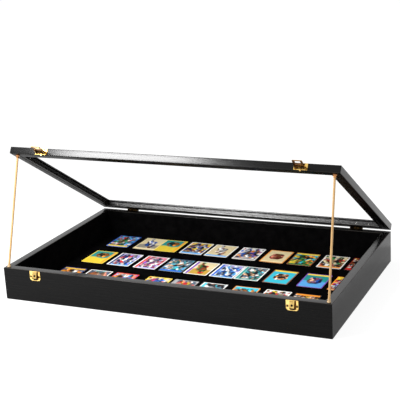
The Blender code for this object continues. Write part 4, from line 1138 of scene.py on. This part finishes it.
def make_floor():
    """One square. Its shader goes from the matt one to a lit and glowing one, first for
    rays from mirrors and then for the camera's own."""
    corners = FLOOR_HALF * np.array([(-1, -1, 0), (1, -1, 0), (1, 1, 0), (-1, 1, 0)])
    mesh = bpy.data.meshes.new("floor")
    mesh.from_pydata(corners.tolist(), [], [(0, 1, 2, 3)])
    floor = bpy.data.objects.new("floor", mesh)
    floor.location.z = -FLOOR_GAP
    bpy.context.scene.collection.objects.link(floor)
    finish = bpy.data.materials.new("pale_floor")
    finish.use_nodes = True
    tree = finish.node_tree
    tree.nodes.clear()
    output = add_node(tree, "ShaderNodeOutputMaterial")
    path = add_node(tree, "ShaderNodeLightPath")
    look = add_node(tree, "ShaderNodeBsdfDiffuse", {"Color": grey(FLOOR_COLOUR)}).outputs[0]
    seen = ((in_mirror(tree, path), IN_MIRRORS), (path.outputs["Is Camera Ray"], TO_CAMERA))
    for seen_by, (own_light, lamp_light) in seen:
        glow = add_node(tree, "ShaderNodeEmission", {"Color": grey(1), "Strength": own_light})
        lit = add_node(tree, "ShaderNodeBsdfDiffuse", {"Color": grey(lamp_light)})
        both = add_node(tree, "ShaderNodeAddShader", {0: lit.outputs[0], 1: glow.outputs[0]})
        look = add_node(tree, "ShaderNodeMixShader", {0: seen_by, 1: look, 2: both.outputs[0]}).outputs[0]
    tree.links.new(look, output.inputs["Surface"])
    mesh.materials.append(finish)
    return floor


floor = make_floor()
print(f"floor at {floor.location.z * 1000:.1f} mm")

# %% World
def make_world(strength):
    """White all round, weaker where it only lights the case than where it is seen."""
    world = bpy.data.worlds.new("studio")
    world.use_nodes = True
    tree = world.node_tree
    tree.nodes.clear()
    output = add_node(tree, "ShaderNodeOutputWorld")
    soft = add_node(tree, "ShaderNodeBackground", {"Color": grey(1), "Strength": strength})
    white = add_node(tree, "ShaderNodeBackground", {"Color": grey(1), "Strength": 1.0})
    path = add_node(tree, "ShaderNodeLightPath")
    seen = arithmetic(tree, "MAXIMUM", path.outputs["Is Camera Ray"], in_mirror(tree, path))
    mixed = add_node(tree, "ShaderNodeMixShader", {0: seen, 1: soft.outputs[0], 2: white.outputs[0]})
    tree.links.new(mixed.outputs[0], output.inputs["Surface"])
    bpy.context.scene.world = world


make_world(strength=0.60)
print("world:", bpy.context.scene.world.name)

# %% [markdown]
# ## Lamps
# One wide lamp stands a little over a metre off, in front, to the left and
# above. Its place comes from two reflections: the broad pale glow along the
# lid's front rail and the smaller one inside its back rail. A mirror line was
# drawn from the camera over each, and the lamp stands where the two lines meet.
# Its long side gives the glow its length. The lamp is rolled about its own line
# of sight, so that its mirror image lies along the rail and fills the rail's
# height from end to end. A weaker lamp on the right keeps that side from going
# black.

# %% Lamps
def make_lamp(name, place, aim, size, watts, roll=0.0):
    """Flat lamp that faces the aim, turned by roll degrees about the line to it."""
    lamp = bpy.data.lights.new(name, "AREA")
    lamp.shape = "RECTANGLE"
    lamp.size, lamp.size_y = size
    lamp.energy = watts
    holder = bpy.data.objects.new(name, lamp)
    holder.location = place
    facing = (Vector(aim) - Vector(place)).to_track_quat("-Z", "Y")
    holder.rotation_euler = (facing @ Quaternion((0, 0, 1), np.radians(roll))).to_euler()
    bpy.context.scene.collection.objects.link(holder)
    return holder


key_lamp = make_lamp("key_lamp", place=(-0.653, -0.904, 1.147), aim=(-0.087, -0.172, 0.351),
                     size=(0.48, 0.27), watts=33, roll=27)
side_lamp = make_lamp("side_lamp", place=(2.2, 0.6, 1.2), aim=(0.3, 0.0, 0.1), size=(1.2, 1.2), watts=8)
print("lamps:", key_lamp.name, side_lamp.name)

# %% [markdown]
# ## Camera
# The camera stands to the right of the case and above it, and leans a little to
# one side. Its place was worked out from the corners of the case and of the
# cards in the picture.

# %% Camera
def make_camera():
    """A camera from its place and three directions, which are the columns of its turn:
    right, up, and backwards, because a camera looks along its own minus Z."""
    camera = bpy.data.cameras.new("camera")
    camera.sensor_width = 36.0
    camera.lens = 94.30
    place = Vector((1.01965, -2.20681, 0.91927))
    right = Vector((0.91346, 0.40353, -0.05247))
    up = Vector((-0.06800, 0.27850, 0.95803))
    forward = Vector((-0.40120, 0.87155, -0.28183))
    turn = Matrix((right, up, -forward)).transposed()
    holder = bpy.data.objects.new("camera", camera)
    holder.matrix_world = Matrix.Translation(place) @ turn.to_4x4()
    bpy.context.scene.collection.objects.link(holder)
    bpy.context.scene.camera = holder
    return camera


camera = make_camera()
bpy.context.scene.view_settings.view_transform = "Standard"
print(f"camera with a {camera.lens:.0f} mm lens")
